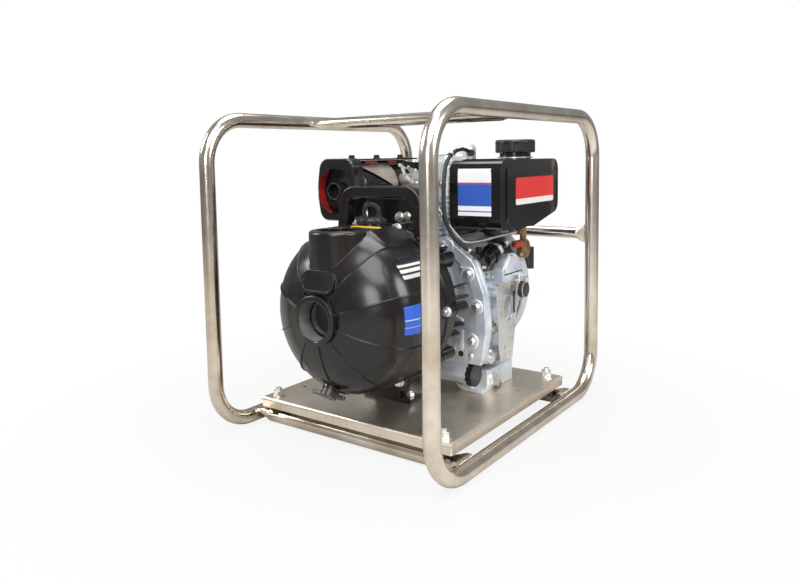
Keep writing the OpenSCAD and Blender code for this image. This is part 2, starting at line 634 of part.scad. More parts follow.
case_mid = [0, -22];
module case_shape(f) polygon(shrunk(rounded(case_pts), f, case_mid));
module filler_notch() block([104, -10, -167], [170, 34, -117]);
module at_yz(p) translate([0, p.x, p.y]) children();
gov_x = 138;
bracket_x = gov_x + 8;
bracket_boss_pts = [[76, -108], [40, 4]];
plug_pts = [[46, -106], [66, -61], [52, -155]];
pump_seat = [100, 24, 44];
gov_pts = [[62, 2, 6], [137, 2, 20], [139.5, 70, 42], [86, 70, 10], [62, 44, 8]];
gov_mid = [104, 36];
module crankcase() color("#8f98a3") on_shaft() difference() {
  union() {
    along_y(case_front, case_front + 10) case_shape(1);
    along_y(case_front + 8, case_len) case_shape(0.9);
    block([-126, case_front + 3, foot_z], [126, 131, case_low + 8]);
    along_y(case_front + 4, case_len - 4) polygon(rounded([[-66, 60, 0], [72, 60, 0], [66, case_top, 3],
      [-58, case_top, 3]]));
    along_x(90, gov_x) polygon(shrunk(rounded(gov_pts), 0.94, gov_mid));
    at_yz(filler_pos) rod_x(50, 104, 36);
    at_yz(plug_pts[0]) rod_x(100, 124, 40);
    at_yz(plug_pts[1]) rod_x(100, 129, 24);
    at_yz(plug_pts[2]) rod_x(100, 128, 26);
    for (p = bracket_boss_pts) at_yz(p) rod_x(100, bracket_x, 16);
    for (y = [60, 88, 116]) block([90, y - 2, -130], [124, y + 2, 0]);
  }
  rod_y(case_front - 1, case_len - 15, 150);
  rod_y(case_len - 16, case_len + 1, bearing_d + 2 * run_gap);
  filler_notch();
  block(pump_seat, [170, 58, 110]);
  along_y(0, case_len) polygon(rounded([[-84, foot_z - 1, 0], [84, foot_z - 1, 0], [66, foot_z + 16, 10],
    [-66, foot_z + 16, 10]]));
  along_x(-150, 150) polygon(rounded([[58, foot_z - 1, 0], [92, foot_z - 1, 0], [88, foot_z + 9, 4], [62,
    foot_z + 9, 4]]));
  for (p = engine_foot_pts) translate(p) rod_z(foot_z - 1, foot_z + 24, foot_bolt_d + 2 * bolt_gap);
  at_yz(filler_pos) rod_x(60, 106, 24);
  for (p = cover_bolt_pts) translate([p.x, 0, p.y]) rod_y(case_front - 1, case_front + 12, 6 + 2 * bolt_gap);
}
module crankcase_cover() color("#949da8") on_shaft() difference() {
  union() {
    along_y(4, cover_t) case_shape(1);
    along_y(0, 5) difference() {
      case_shape(1);
      case_shape(0.86);
    }
    rod_y(adapter_back, cover_t, 156);
    for (p = cover_bolt_pts) translate([p.x, 0, p.y]) rod_y(-2, cover_t, 25);
    for (a = [0:36:324]) rotate([0, -a - 12, 0]) block([60, 1, -2.5], [104, 6, 2.5]);
  }
  rod_y(adapter_back - 1, cover_t + 1, bearing_d + 2 * run_gap);
  filler_notch();
  at_yz(filler_pos) rod_x(48, 150, 36 + 2 * seat_gap);
  for (p = cover_bolt_pts) translate([p.x, 0, p.y]) rod_y(-3, cover_t + 1, 6 + 2 * bolt_gap);
}
module cover_bolts() color("silver") on_shaft() for (p = cover_bolt_pts) translate([p.x, 0, p.y]) {
  rod_y(-4, case_front + 10, 6);
  rod_y(-3.5, -2, 16);
  hex_y(-9, -3.5, 13);
}
module main_bearings() color("#c8ccd0") on_shaft() {
  difference() {
    rod_y(0, cover_t - 2, bearing_d);
    rod_y(-1, cover_t, shaft_d + 2 * run_gap);
  }
  difference() {
    rod_y(case_len - 13, case_len - 1, bearing_d);
    rod_y(case_len - 14, case_len, crank_d + 2 * run_gap);
  }
}
crank_throw = 32;
module crank_web(y) difference() {
  rod_y(y, y + 14, 2 * 62);
  for (s = [-1, 1]) translate([s * 52, 0, 34]) rotate([0, s * 28, 0]) block([-22, y - 1, -30], [22,
    y + 15, 60]);
}
module crankshaft() color("#7d8288") on_shaft() {
  rod_y(impeller_back - 37, case_front + 36, shaft_d);
  crank_web(case_front + 32);
  translate([0, 0, crank_throw]) rod_y(case_front + 40, case_front + 86, 34);
  crank_web(case_front + 78);
  rod_y(case_front + 88, case_len + 56, crank_d);
}

module fin_plate(z) translate([0, 0, z]) linear_extrude(fin_t)
  polygon(box_pts(cylinder_x - 56, cylinder_y - 58, cylinder_x + 56, cylinder_y + 57, 14));
fin_pitch = (fins_top - case_top - fin_t) / (fin_count - 1);
module cylinder_block() color("#7e868f") on_shaft() {
  for (k = [0:fin_count - 1]) fin_plate(case_top + k * fin_pitch);
  translate([cylinder_x, cylinder_y, 0]) rod_z(case_top, fins_top, 92);
  for (x = [-38, 38], y = [-40, 40]) translate([cylinder_x + x, cylinder_y + y, 0]) rod_z(case_top,
    fins_top, 18);
}
head_left = cylinder_x - 42;
head_front = cylinder_y - 46;
injector_at = [34, 26, fins_top + 14];
injector_tilt = 50;
module cylinder_head() color("#a6adb5") on_shaft() {
  translate([0, 0, fins_top]) linear_extrude(8)
    polygon(box_pts(cylinder_x - 54, cylinder_y - 54, cylinder_x + 52, cylinder_y + 54, 12));
  translate([0, 0, fins_top + 6]) linear_extrude(head_top - fins_top - 12)
    polygon(box_pts(head_left + 5, head_front + 5, cylinder_x + 44, cylinder_y + 46, 10));
  for (z = [fins_top + 13, fins_top + 20, fins_top + 27]) translate([0, 0, z]) linear_extrude(fin_t)
    polygon(box_pts(head_left, head_front, cylinder_x + 50, cylinder_y + 52, 14));
  translate([0, 0, head_top - 6]) linear_extrude(6)
    polygon(box_pts(head_left + 1, head_front + 1, cylinder_x + 52, cylinder_y + 50, 14));
  translate(injector_at) rotate([injector_tilt, 0, 0]) rod_z(-12, 20, 15);
}
dome_at = [44, 106];
lever_at = [-8, rocker_top - 18];
lever_face = cylinder_y - 44;
module rocker_cover() color("#c3c8cd") on_shaft() difference() {
  union() {
    translate([0, 0, head_top]) linear_extrude(5)
      polygon(box_pts(head_left + 2, head_front + 2, cylinder_x + 50, cylinder_y + 47, 12));
    hull() {
      translate([0, 0, head_top + 4]) linear_extrude(18)
        polygon(box_pts(head_left + 5, head_front + 5, cylinder_x + 46, cylinder_y + 43, 12));
      translate([0, 0, head_top + 4]) linear_extrude(rocker_top - head_top - 4)
        polygon(box_pts(head_left + 11, head_front + 11, cylinder_x + 40, cylinder_y + 37, 12));
    }
    translate(dome_at) rotate_extrude() polygon(rounded([[0, head_top + 10, 0], [19, head_top + 10, 0],
      [19, rocker_top + 22, 12], [0, rocker_top + 22, 0]]));
    translate([lever_at.x, 0, lever_at.y]) rod_y(lever_face, cylinder_y - 30, 17);
    for (x = [-32, 38], y = [-35, 35])
      translate([cylinder_x + x, cylinder_y + y, 0]) rod_z(head_top + 3, head_top + 12, 17);
  }
  translate([lever_at.x, 0, lever_at.y]) rod_y(lever_face - 1, lever_face + 10, 8 + 2 * run_gap);
}
module decompression_lever() color("#3b3b3b") on_shaft() translate([lever_at.x, lever_face - seat_gap,
  lever_at.y]) {
  rod_y(-7, 9, 8);
  rod_y(-7, 0, 16);
  along_y(-6, -2) polygon(rounded([[-6, -5, 3], [6, -5, 3], [6, 5, 3], [-36, 9, 4], [-36, -1, 4]]));
}
shroud_x = -83;
module cylinder_shroud() color("#1d1d1f") on_shaft() difference() {
  along_y(-34, cylinder_y - 58) polygon(rounded([[shroud_x, 117, 6], [20, 117, 6], [20, 172, 8],
    [shroud_x, 172, 15]]));
  along_y(-31, cylinder_y) polygon(rounded([[shroud_x + 3, 120, 4], [17, 120, 4], [17, 169, 6],
    [shroud_x + 3, 169, 12]]));
}
module blade(angle) rotate([0, -angle, 0]) translate([flywheel_r - 22, 0, 0]) rotate([0, 24, 0])
  block([-20, case_len + 26, -1.6], [20, case_len + 48, 1.6]);
module flywheel() color("#6f757c") on_shaft() difference() {
  union() {
    turned_y() polygon([[0, case_len + 6], [flywheel_r, case_len + 6], [flywheel_r, case_len + 28],
      [flywheel_r - 6, case_len + 28],
      [flywheel_r - 44, case_len + 20], [30, case_len + 20], [30, case_len + 30], [0, case_len + 30]]);
    for (k = [0:blade_count - 1]) blade(360 * k / blade_count);
    difference() {
      rod_y(case_len + 18, case_len + 52, 100);
      rod_y(case_len + 24, case_len + 53, 92);
    }
  }
  rod_y(case_len, case_len + 60, crank_d + 2 * run_gap);
}
// Fan housing as (radius, y) points for a shell drawn in by inset
function fan_pts(inset) = [
  [0, case_len], [fan_r - inset, case_len], [fan_r - inset, case_len + 22], [fan_r - 3 - inset,
    case_len + 32],
  [fan_r - 10 - inset, case_len + 44], [fan_r - 19 - inset, case_len + 56], [fan_r - 24 - inset,
    fan_back - inset], [0, fan_back - inset]
];
module fan_cover() color("#26282b") on_shaft() difference() {
  union() {
    turned_y() polygon(fan_pts(0));
    along_y(case_len, case_len + 46) polygon(box_pts(-72, 60, 72, duct_top, 14));
  }
  difference() {
    union() {
      turned_y() polygon(fan_pts(sheet_t));
      along_y(case_len - 1, case_len + 46 - sheet_t) polygon(box_pts(sheet_t - 72, 50, 72 - sheet_t,
        duct_top - sheet_t, 12));
    }
    rod_y(case_len - 1, case_len, 2);
  }
  rod_y(case_len - 1, case_len + 0.01, 2 * (fan_r - sheet_t));
  rod_y(fan_back - 10, fan_back + 1, 2 * starter_r - 30);
  for (k = [0:5]) rotate([0, 60 * k, 0]) translate([starter_r - 6, 0, 0]) rod_y(fan_back - 6,
    fan_back + 1, 5 + 2 * bolt_gap);
}
starter_pin_d = 12;
rope_out_x = 111;
module starter_cover() color("#222427") on_shaft() difference() {
  union() {
    difference() {
      turned_y() polygon([[0, fan_back], [starter_r, fan_back], [starter_r, fan_back + 12],
        [starter_r - 4, fan_back + 19],
        [starter_r - 14, starter_back - 4], [starter_r - 30, starter_back], [0, starter_back]]);
      turned_y() polygon([[0, fan_back - 1], [starter_r - 13, fan_back - 1], [starter_r - 13,
        fan_back + 12], [starter_r - 16, starter_back - 4 - sheet_t],
        [starter_r - 31, starter_back - sheet_t], [0, starter_back - sheet_t]]);
    }
    rod_y(fan_back + 1, starter_back - 1, starter_pin_d);
    rod_y(starter_back - 1, starter_back + 3, 40);
    translate([0, rope_y, rope_r]) rod_x(starter_r - 22, rope_out_x, 16);
  }
  for (k = [0:slot_count - 1]) rotate([0, 360 * k / slot_count, 0])
    translate([0, 0, 0]) block([starter_r - 52, starter_back - 8, -2.5], [starter_r - 22,
      starter_back + 1, 2.5]);
  translate([0, rope_y, rope_r]) rod_x(starter_r - 40, rope_out_x + 1, rope_d + 4);
  for (k = [0:5]) rotate([0, 60 * k, 0]) translate([starter_r - 6, 0, 0]) rod_y(fan_back - 1,
    starter_back, 5 + 2 * bolt_gap);
}
module starter_pulley() color("#3f4348") on_shaft() difference() {
  turned_y() polygon([[0, rope_y - 6], [rope_r + 6, rope_y - 6], [rope_r + 6, rope_y - rope_d / 2 - 1],
    [rope_r - rope_d / 2 - 0.5, rope_y - rope_d / 2 - 1],
    [rope_r - rope_d / 2 - 0.5, rope_y + rope_d / 2 + 1], [rope_r + 6, rope_y + rope_d / 2 + 1],
      [rope_r + 6, rope_y + 6], [0, rope_y + 6]]);
  rod_y(rope_y - 7, rope_y + 7, starter_pin_d + 2 * run_gap);
}
module recoil_rope() color("#d9d9d4") on_shaft() translate([0, rope_y, rope_r]) rod_x(0, rope_out_x + 6,
  rope_d);
module recoil_handle() color("#1a1a1a") on_shaft() translate([rope_out_x + seat_gap, rope_y, rope_r])
  difference() {
  union() {
    rotate([0, 90, 0]) rotate_extrude() polygon([[0, 0], [7, 0], [8, 10], [0, 10]]);
    translate([12, 0, 0]) rod_z(-21, 21, 16);
  }
  rod_x(-1, 6 - seat_gap, rope_d);
}

module at_muffler() translate([muffler_pos.x, 0, muffler_pos.y]) children();
module muffler_body() color("#5c5148") on_shaft() at_muffler() turned_y() polygon(rounded([
  [0, muffler_y, 0], [muffler_r, muffler_y, 8], [muffler_r, muffler_y + muffler_len, 12], [0,
    muffler_y + muffler_len, 0]
]));
guard_r = muffler_r + 2;
module muffler_guard() color("#7a6a5a") on_shaft() at_muffler() difference() {
  rod_y(muffler_y + 6, muffler_y + muffler_len - 14, 2 * guard_r + 3);
  rod_y(muffler_y, muffler_y + muffler_len, 2 * guard_r);
  block([-70, muffler_y, -70], [0, muffler_y + muffler_len, 70]);
  block([10, 70, -14], [70, 120, 42]);
  along_x(-1, 70) polygon([[muffler_y - 1, 70], [-44, 50], [132, -34], [muffler_y + muffler_len, -34],
    [muffler_y + muffler_len, -70], [muffler_y - 1, -70]]);
}
cover_lo = [-183, 130];
cover_hi = [-93, 245];
tail_pos = [-138, 185];
recess_floor = muffler_y - 6;
// Outline of the cover with its left and right sides slightly bulged
module cover_shape(inset) polygon(rounded([
  [cover_lo.x + 9 + inset, cover_lo.y + inset, 18], [cover_hi.x - 3 - inset, cover_lo.y + inset, 16],
  [cover_hi.x - inset, tail_pos.y, 90], [cover_hi.x - 3 - inset, cover_hi.y - inset, 16],
  [cover_lo.x + 9 + inset, cover_hi.y - inset, 18], [cover_lo.x + inset, tail_pos.y, 120]
]));
module muffler_cover() color("#1d1c1b") on_shaft() difference() {
  hull() {
    along_y(muffler_y - 30, muffler_y - 28) cover_shape(2);
    along_y(muffler_y - 26, muffler_y) cover_shape(0);
  }
  translate([tail_pos.x, 0, tail_pos.y]) rod_y(muffler_y - 31, recess_floor, recess_d);
}
module tail_pipe() color("#2a2522") on_shaft() translate([tail_pos.x, 0, tail_pos.y]) difference() {
  rod_y(muffler_y - 34, recess_floor, tail_d);
  rod_y(muffler_y - 35, muffler_y - 14, tail_d - 5);
}
top_plate_z = muffler_pos.y + guard_r + 2;
top_bolt_ys = [-12, 66, 146];
module muffler_top_plate() color("#26221f") on_shaft() {
  translate([0, 0, top_plate_z]) linear_extrude(3) polygon(box_pts(-176, muffler_y + seat_gap, -100,
    muffler_y + muffler_len + 4, 6));
  for (y = top_bolt_ys) translate([-135, y, top_plate_z]) {
    rod_z(2, 4.5, 15);
    hex_z(4, 10, 12);
  }
}
module exhaust_elbow() color("#4b4540") on_shaft() difference() {
  union() {
    translate([0, 95, fins_top + 23]) rod_x(muffler_pos.x + 30, head_left - seat_gap, 27);
    along_x(head_left - 6, head_left - seat_gap) polygon(box_pts(72, fins_top + 9, 118, head_top - 3, 10));
  }
  at_muffler() rod_y(muffler_y, muffler_y + muffler_len, 2 * (muffler_r + seat_gap));
}
air_r = 46;
air_front = case_len + 36;
module air_cleaner() color("#222222") on_shaft() {
  translate([air_pos.x, 0, air_pos.y]) turned_y() polygon(rounded([[0, air_front, 0], [air_r, air_front,
    8], [air_r, air_front + 46, 2], [0, air_front + 46, 0]]));
  translate([-20, 0, fins_top + 23]) rod_y(cylinder_y + 52 + seat_gap, air_front + 8, 28);
}
module air_cleaner_cover() color("#191919") on_shaft() translate([air_pos.x, 0, air_pos.y]) {
  turned_y() polygon(rounded([[0, air_front + 46, 0], [air_r + 2, air_front + 46, 2], [air_r + 2,
    air_front + 62, 9], [0, air_front + 66, 0]]));
  rod_y(air_front + 60, air_front + 74, 8);
  along_y(air_front + 68, air_front + 72) polygon(rounded([[-15, -3, 2], [15, -3, 2], [15, 3, 2], [-15,
    3, 2]]));
}

tank_rise = 22;
// Side outline of the tank as (y, z) points, drawn in by inset
function tank_pts(inset) =
  let (r = max(tank_edge_r - inset, 1), y0 = tank_y + inset, y1 = tank_y + tank_len - inset)
  let (z0 = tank_bottom + inset, z1 = tank_bottom + tank_h - inset)
    rounded([[y0, z0, r], [tank_y + tank_len * 0.55, z0, 30], [y1, z0 + tank_rise, r], [y1, z1, r], [y0,
      z1, r]]);
// Tank body whose side edges are rounded in steps, drawn in by inset
module tank_body(inset) {
  r = tank_edge_r - inset;
  hull() for (s = [-1, 1], a = [0:15:90])
    translate([tank_x + tank_w / 2 + s * (tank_w / 2 - inset - r * (1 - sin(a)) - 0.1), 0, 0])
      along_x(-0.1, 0.1) polygon(tank_pts(inset + r * (1 - cos(90 - a))));
}
neck_d = 56;
neck_top = tank_bottom + tank_h + 12;
module fuel_tank() color("#171718") on_shaft() difference() {
  union() {
    tank_body(0);
    along_y(tank_y + 22, tank_y + 27) polygon(box_pts(tank_x - 2, tank_bottom - 0.2, tank_x + tank_w + 2,
      tank_bottom + tank_h + 2, tank_edge_r + 2));
    translate(cap_pos) rod_z(neck_top - 16, neck_top, neck_d);
  }
  tank_body(tank_wall);
  translate(cap_pos) rod_z(neck_top - 20, neck_top + 1, neck_d - 12);
}
module fuel_cap() color("#1b1b1b") on_shaft() translate([cap_pos.x, cap_pos.y, neck_top + seat_gap])
  difference() {
  union() {
    rod_z(-12, 1, neck_d - 12 - 2 * seat_gap);
    rotate_extrude() polygon(rounded([[0, 0, 0], [fuel_cap_d / 2, 0, 2], [fuel_cap_d / 2, 23, 4], [0, 23,
      0]]));
  }
  for (k = [0:11]) rotate([0, 0, 30 * k]) translate([fuel_cap_d / 2 + 5, 0, 0]) rod_z(-1, 17, 14);
}
bracket_y = [20, 104];
module tank_bracket() color("#2b2d30") on_shaft() {
  block([64, bracket_y.x, tank_bottom - 4], [152, bracket_y.y, tank_bottom - 0.5]);
  block([cylinder_x + 56 + seat_gap, bracket_y.x + 10, case_top + 4], [66, bracket_y.y, tank_bottom - 0.5]);
}
fuel_hose_pts = [
  [61, 92, 252], [64, 62, 258], [68, 22, 252], [73, -10, 234], [76, -24, 205], [77, -27, 170],
  [80, -27, 138], [88, -20, 112], [104, -10, 92], [114, 4, 78], [118, 21, 70]
];
module fuel_hose() color("#141414") on_shaft() {
  swept_tube(fuel_hose_pts, 3.6, 10);
  translate([62, 92, 251]) rotate([0, 0, -40]) rod_x(-3, 6, 12);
}
filter_pos = [149, 72];
cock_at = [118, 84];
cock_x = 140;
// Height of the tank's sloping underside at y
function tank_low(y) = tank_bottom + tank_rise * (y - tank_y - tank_len * 0.55) / (tank_len * 0.45);
module fuel_filter() color("#8a6a45") on_shaft() {
  at_yz(filter_pos) {
    rod_x(cock_x - 5, cock_x + 4, 34);
    rod_x(cock_x + 3, cock_x + 6, 36);
  }
  translate([cock_x, filter_pos.x, 0]) rod_z(filter_pos.y + 10, tank_low(filter_pos.x - 6) - seat_gap, 12);
  translate([cock_x, filter_pos.x, 106]) rod_y(-24, 0, 11);
  translate([cock_x, 0, cock_at.y]) rod_y(cock_at.x - 6, filter_pos.x, 12);
  at_yz(cock_at) rod_x(cock_x, cock_x + 6, 12);
}
module fuel_cock_lever() color("#b03028") on_shaft() at_yz(cock_at) {
  rod_x(cock_x + 6.3, cock_x + 12, 11);
  along_x(cock_x + 8, cock_x + 12) polygon(rounded([[0, 4, 2], [-24, 5, 4], [-24, -5, 4], [0, -4, 2]]));
}
pump_from = [118, 34, 62];
pump_way = unit([19, 82, 34]);
// Local Z runs along the injection pump's barrel
module at_injection(d) translate(pump_from + pump_way * d)
  rotate([0, acos(pump_way.z), atan2(pump_way.y, pump_way.x)]) children();
module injection_pump() color("#17181a") on_shaft() {
  block(pump_seat, [128, 58, 76]);
  at_injection(0) rod_z(4, 34, 30);
  at_injection(22) rod_z(0, 9, 35);
  at_injection(30) hex_z(0, 20, 24);
  at_injection(48) rod_z(0, 14, 12);
  translate([112, 32, 0]) rod_z(70, 86, 12);
}
injector_way = [0, -sin(injector_tilt), cos(injector_tilt)];
injector_tip = injector_at + (20 + seat_gap) * injector_way;
injection_pipe_pts = [
  injector_tip + 2 * injector_way, injector_tip + 13 * injector_way, [38, -14, 198], [50, -16, 172],
    [70, -12, 138],
  [88, -6, 112], [101, 4, 98], [113, 30, 97], [127, 78, 102], [cock_x - 1, 124, 106]
];
module injection_pipe() color("#b9bcc0") on_shaft() {
  swept_tube(injection_pipe_pts, 3, 10);
  translate(injector_tip) rotate([injector_tilt, 0, 0]) hex_z(0, 10, 14);
}
lever_pivot = [108, 30];
lever_x = gov_x + 16.3;
module governor_cover() color("#9aa3ad") on_shaft() {
  along_x(gov_x, gov_x + 5) polygon(rounded(gov_pts));
  along_x(gov_x + 5, gov_x + 6.5) polygon(shrunk(rounded(gov_pts), 0.84, gov_mid));
  at_yz(lever_pivot) rod_x(gov_x + 5, lever_x + 5, 6);
}
module speed_lever() color("#8c8f93") on_shaft() at_yz(lever_pivot) difference() {
  union() {
    rod_x(lever_x, lever_x + 4, 14);
    along_x(lever_x, lever_x + 3) polygon(rounded([[6, 3, 3], [-6, 3, 3], [-12, -30, 5], [4, -30, 5]]));
    translate([0, -4, -26]) rod_x(lever_x + 2, lever_x + 13, 29);
  }
  rod_x(lever_x - 1, lever_x + 6, 6 + 2 * run_gap);
}
module side_bracket() color("#a39c92") on_shaft() difference() {
  union() {
    along_x(bracket_x, bracket_x + 3) polygon(rounded([
      [41, -118, 6], [86, -120, 6], [104, -36, 24], [141, 10, 6], [141, 22, 0], [24, 22, 0], [31, 4, 10]
    ]));
    block([bracket_x, 24, 19.5], [bracket_x + 8, 141, 22.5]);
  }
  along_x(bracket_x - 1, bracket_x + 4) polygon(box_pts(56, -48, 86, -4, 14.9));
  at_yz([58, -94]) rod_x(bracket_x - 1, bracket_x + 4, 8);
  for (p = bracket_boss_pts) at_yz(p) rod_x(bracket_x - 1, bracket_x + 4, 6 + 2 * bolt_gap);
}
module oil_filler_cap() color("#161616") on_shaft() at_yz(filler_pos) difference() {
  union() {
    rod_x(96, 105, 24 - 2 * seat_gap);
    rod_x(104 + seat_gap, 116, 41);
  }
  for (k = [0:11]) rotate([30 * k, 0, 0]) translate([0, 0, 23]) rod_x(104, 114, 8);
}
module oil_plugs() color("#c9ccd0") on_shaft() {
  at_yz(plug_pts[0]) {
    rod_x(124, 129, 36);
    rod_x(128, 134, 22);
    rotate([35, 0, 0]) block([133, -13, -3], [140, 13, 3]);
  }
  at_yz(plug_pts[1]) {
    hex_x(129, 137, 19);
    rod_x(136, 143, 11);
  }
  at_yz(plug_pts[2]) {
    rod_x(128, 131, 24);
    hex_x(130, 139, 20);
  }
}

loop_left();
loop_right();
top_crossbar();
rear_crossbar();
front_base_bar();
rear_base_bar();
base_plate();
rubber_mounts();
mount_nuts();
pump_casing();
casing_gasket();
pump_adapter();
casing_bolts();
inner_volute();
impeller();
shaft_seal();
suction_flap();
flap_pin();
carry_handle();
fill_cap();
drain_cap();
pump_foot();
foot_bolts();
crankcase();
crankcase_cover();
cover_bolts();
main_bearings();
crankshaft();
cylinder_block();
cylinder_head();
rocker_cover();
decompression_lever();
cylinder_shroud();
flywheel();
fan_cover();
starter_cover();
starter_pulley();
recoil_rope();
recoil_handle();
muffler_body();
muffler_guard();
muffler_cover();
muffler_top_plate();
tail_pipe();
exhaust_elbow();
air_cleaner();
air_cleaner_cover();
fuel_tank();
tank_bracket();
fuel_cap();
fuel_hose();
fuel_filter();
fuel_cock_lever();
injection_pump();
injection_pipe();
governor_cover();
speed_lever();
side_bracket();
oil_filler_cap();
oil_plugs();
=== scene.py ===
import json
import math

import bmesh
import bpy
from mathutils import Matrix, Vector


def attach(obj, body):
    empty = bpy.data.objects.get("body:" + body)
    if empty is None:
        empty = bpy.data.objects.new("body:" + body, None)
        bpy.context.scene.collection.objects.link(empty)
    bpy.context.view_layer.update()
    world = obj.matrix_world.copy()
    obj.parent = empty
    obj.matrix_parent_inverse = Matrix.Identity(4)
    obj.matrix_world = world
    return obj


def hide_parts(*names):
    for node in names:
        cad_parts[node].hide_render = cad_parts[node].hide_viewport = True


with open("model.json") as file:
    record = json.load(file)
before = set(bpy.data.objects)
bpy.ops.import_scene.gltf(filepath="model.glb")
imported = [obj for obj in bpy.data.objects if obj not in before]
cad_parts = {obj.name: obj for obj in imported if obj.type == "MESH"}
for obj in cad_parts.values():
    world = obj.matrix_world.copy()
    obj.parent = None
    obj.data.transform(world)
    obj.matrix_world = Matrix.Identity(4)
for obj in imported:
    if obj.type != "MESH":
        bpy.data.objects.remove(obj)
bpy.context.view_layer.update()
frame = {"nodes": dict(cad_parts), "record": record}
nodes = frame["nodes"]
bodyOf = {node: body for body, group in frame["record"]["behaviour"]["bodies"].items() for node in group}

mm = 0.001
axisHeight = 0.223  # height of the shaft above the ground


# shader kit: a socket that takes arithmetic, and one way to make any node
class Wire:
    def __init__(self, tree, socket):
        self.tree = tree
        self.socket = socket

    def math(self, operation, *others):
        node = self.tree.nodes.new("ShaderNodeMath")
        node.operation = operation
        for slot, value in zip(node.inputs, (self, *others)):
            connect(self.tree, slot, value)
        return Wire(self.tree, node.outputs[0])

    def __add__(self, other):
        return self.math("ADD", other)

    def __mul__(self, other):
        return self.math("MULTIPLY", other)

    def __pow__(self, other):
        return self.math("POWER", other)

    def either(self, other):
        return self.math("MAXIMUM", other)

    def both(self, other):
        return self.math("MINIMUM", other)

    def wave(self):
        return self.math("SINE")


def connect(tree, slot, value):
    if isinstance(value, Wire):
        tree.links.new(value.socket, slot)
    elif hasattr(slot.default_value, "__len__"):
        slot.default_value = list(value) + [1] * (len(slot.default_value) - len(value))
    else:
        slot.default_value = value


class Recipe:
    def __init__(self, tree):
        self.tree = tree
        tree.nodes.clear()

    def make(self, kind, sockets=None, out=0, **settings):
        node = self.tree.nodes.new(kind)
        for key, value in settings.items():
            setattr(node, key, value)
        for key, value in (sockets or {}).items():
            connect(self.tree, node.inputs[key], value)
        return Wire(self.tree, node.outputs[out]) if len(node.outputs) else None

    def spot(self, stretch):
        where = self.make("ShaderNodeTexCoord", out="Object")
        return self.make("ShaderNodeMapping", {"Vector": where, "Scale": stretch})

    def axes(self):
        where = self.make("ShaderNodeTexCoord", out="Object")
        parts = self.make("ShaderNodeSeparateXYZ", {0: where})
        return [Wire(self.tree, parts.socket.node.outputs[k]) for k in range(3)]

    def noise(self, scale, detail, rough, stretch=(1, 1, 1)):
        return self.make("ShaderNodeTexNoise", {
            "Vector": self.spot(stretch), "Scale": scale, "Detail": detail, "Roughness": rough})

    def step(self, value, low, high):
        return self.make("ShaderNodeMapRange", {0: value, 1: low, 2: high, 3: 0.0, 4: 1.0},
                         interpolation_type="SMOOTHSTEP")

    def ramp(self, value, low, high):
        return self.make("ShaderNodeMapRange", {0: value, 1: low, 2: high})

    def blend(self, amount, first, second):
        node = self.tree.nodes.new("ShaderNodeMix")
        node.data_type = "RGBA"
        connect(self.tree, node.inputs[0], amount)
        connect(self.tree, node.inputs[6], first)
        connect(self.tree, node.inputs[7], second)
        return Wire(self.tree, node.outputs[2])

    def bump(self, height, strength, distance):
        return self.make("ShaderNodeBump", {
            "Height": height, "Strength": strength, "Distance": distance})

    def surface(self, **sockets):
        named = {key.replace("_", " "): value for key, value in sockets.items()}
        shader = self.make("ShaderNodeBsdfPrincipled", named)
        self.make("ShaderNodeOutputMaterial", {"Surface": shader})


def material(name):
    made = bpy.data.materials.new(name)
    made.use_nodes = True
    return made, Recipe(made.node_tree)


def linked(name, data):
    thing = bpy.data.objects.new(name, data)
    bpy.context.scene.collection.objects.link(thing)
    return thing


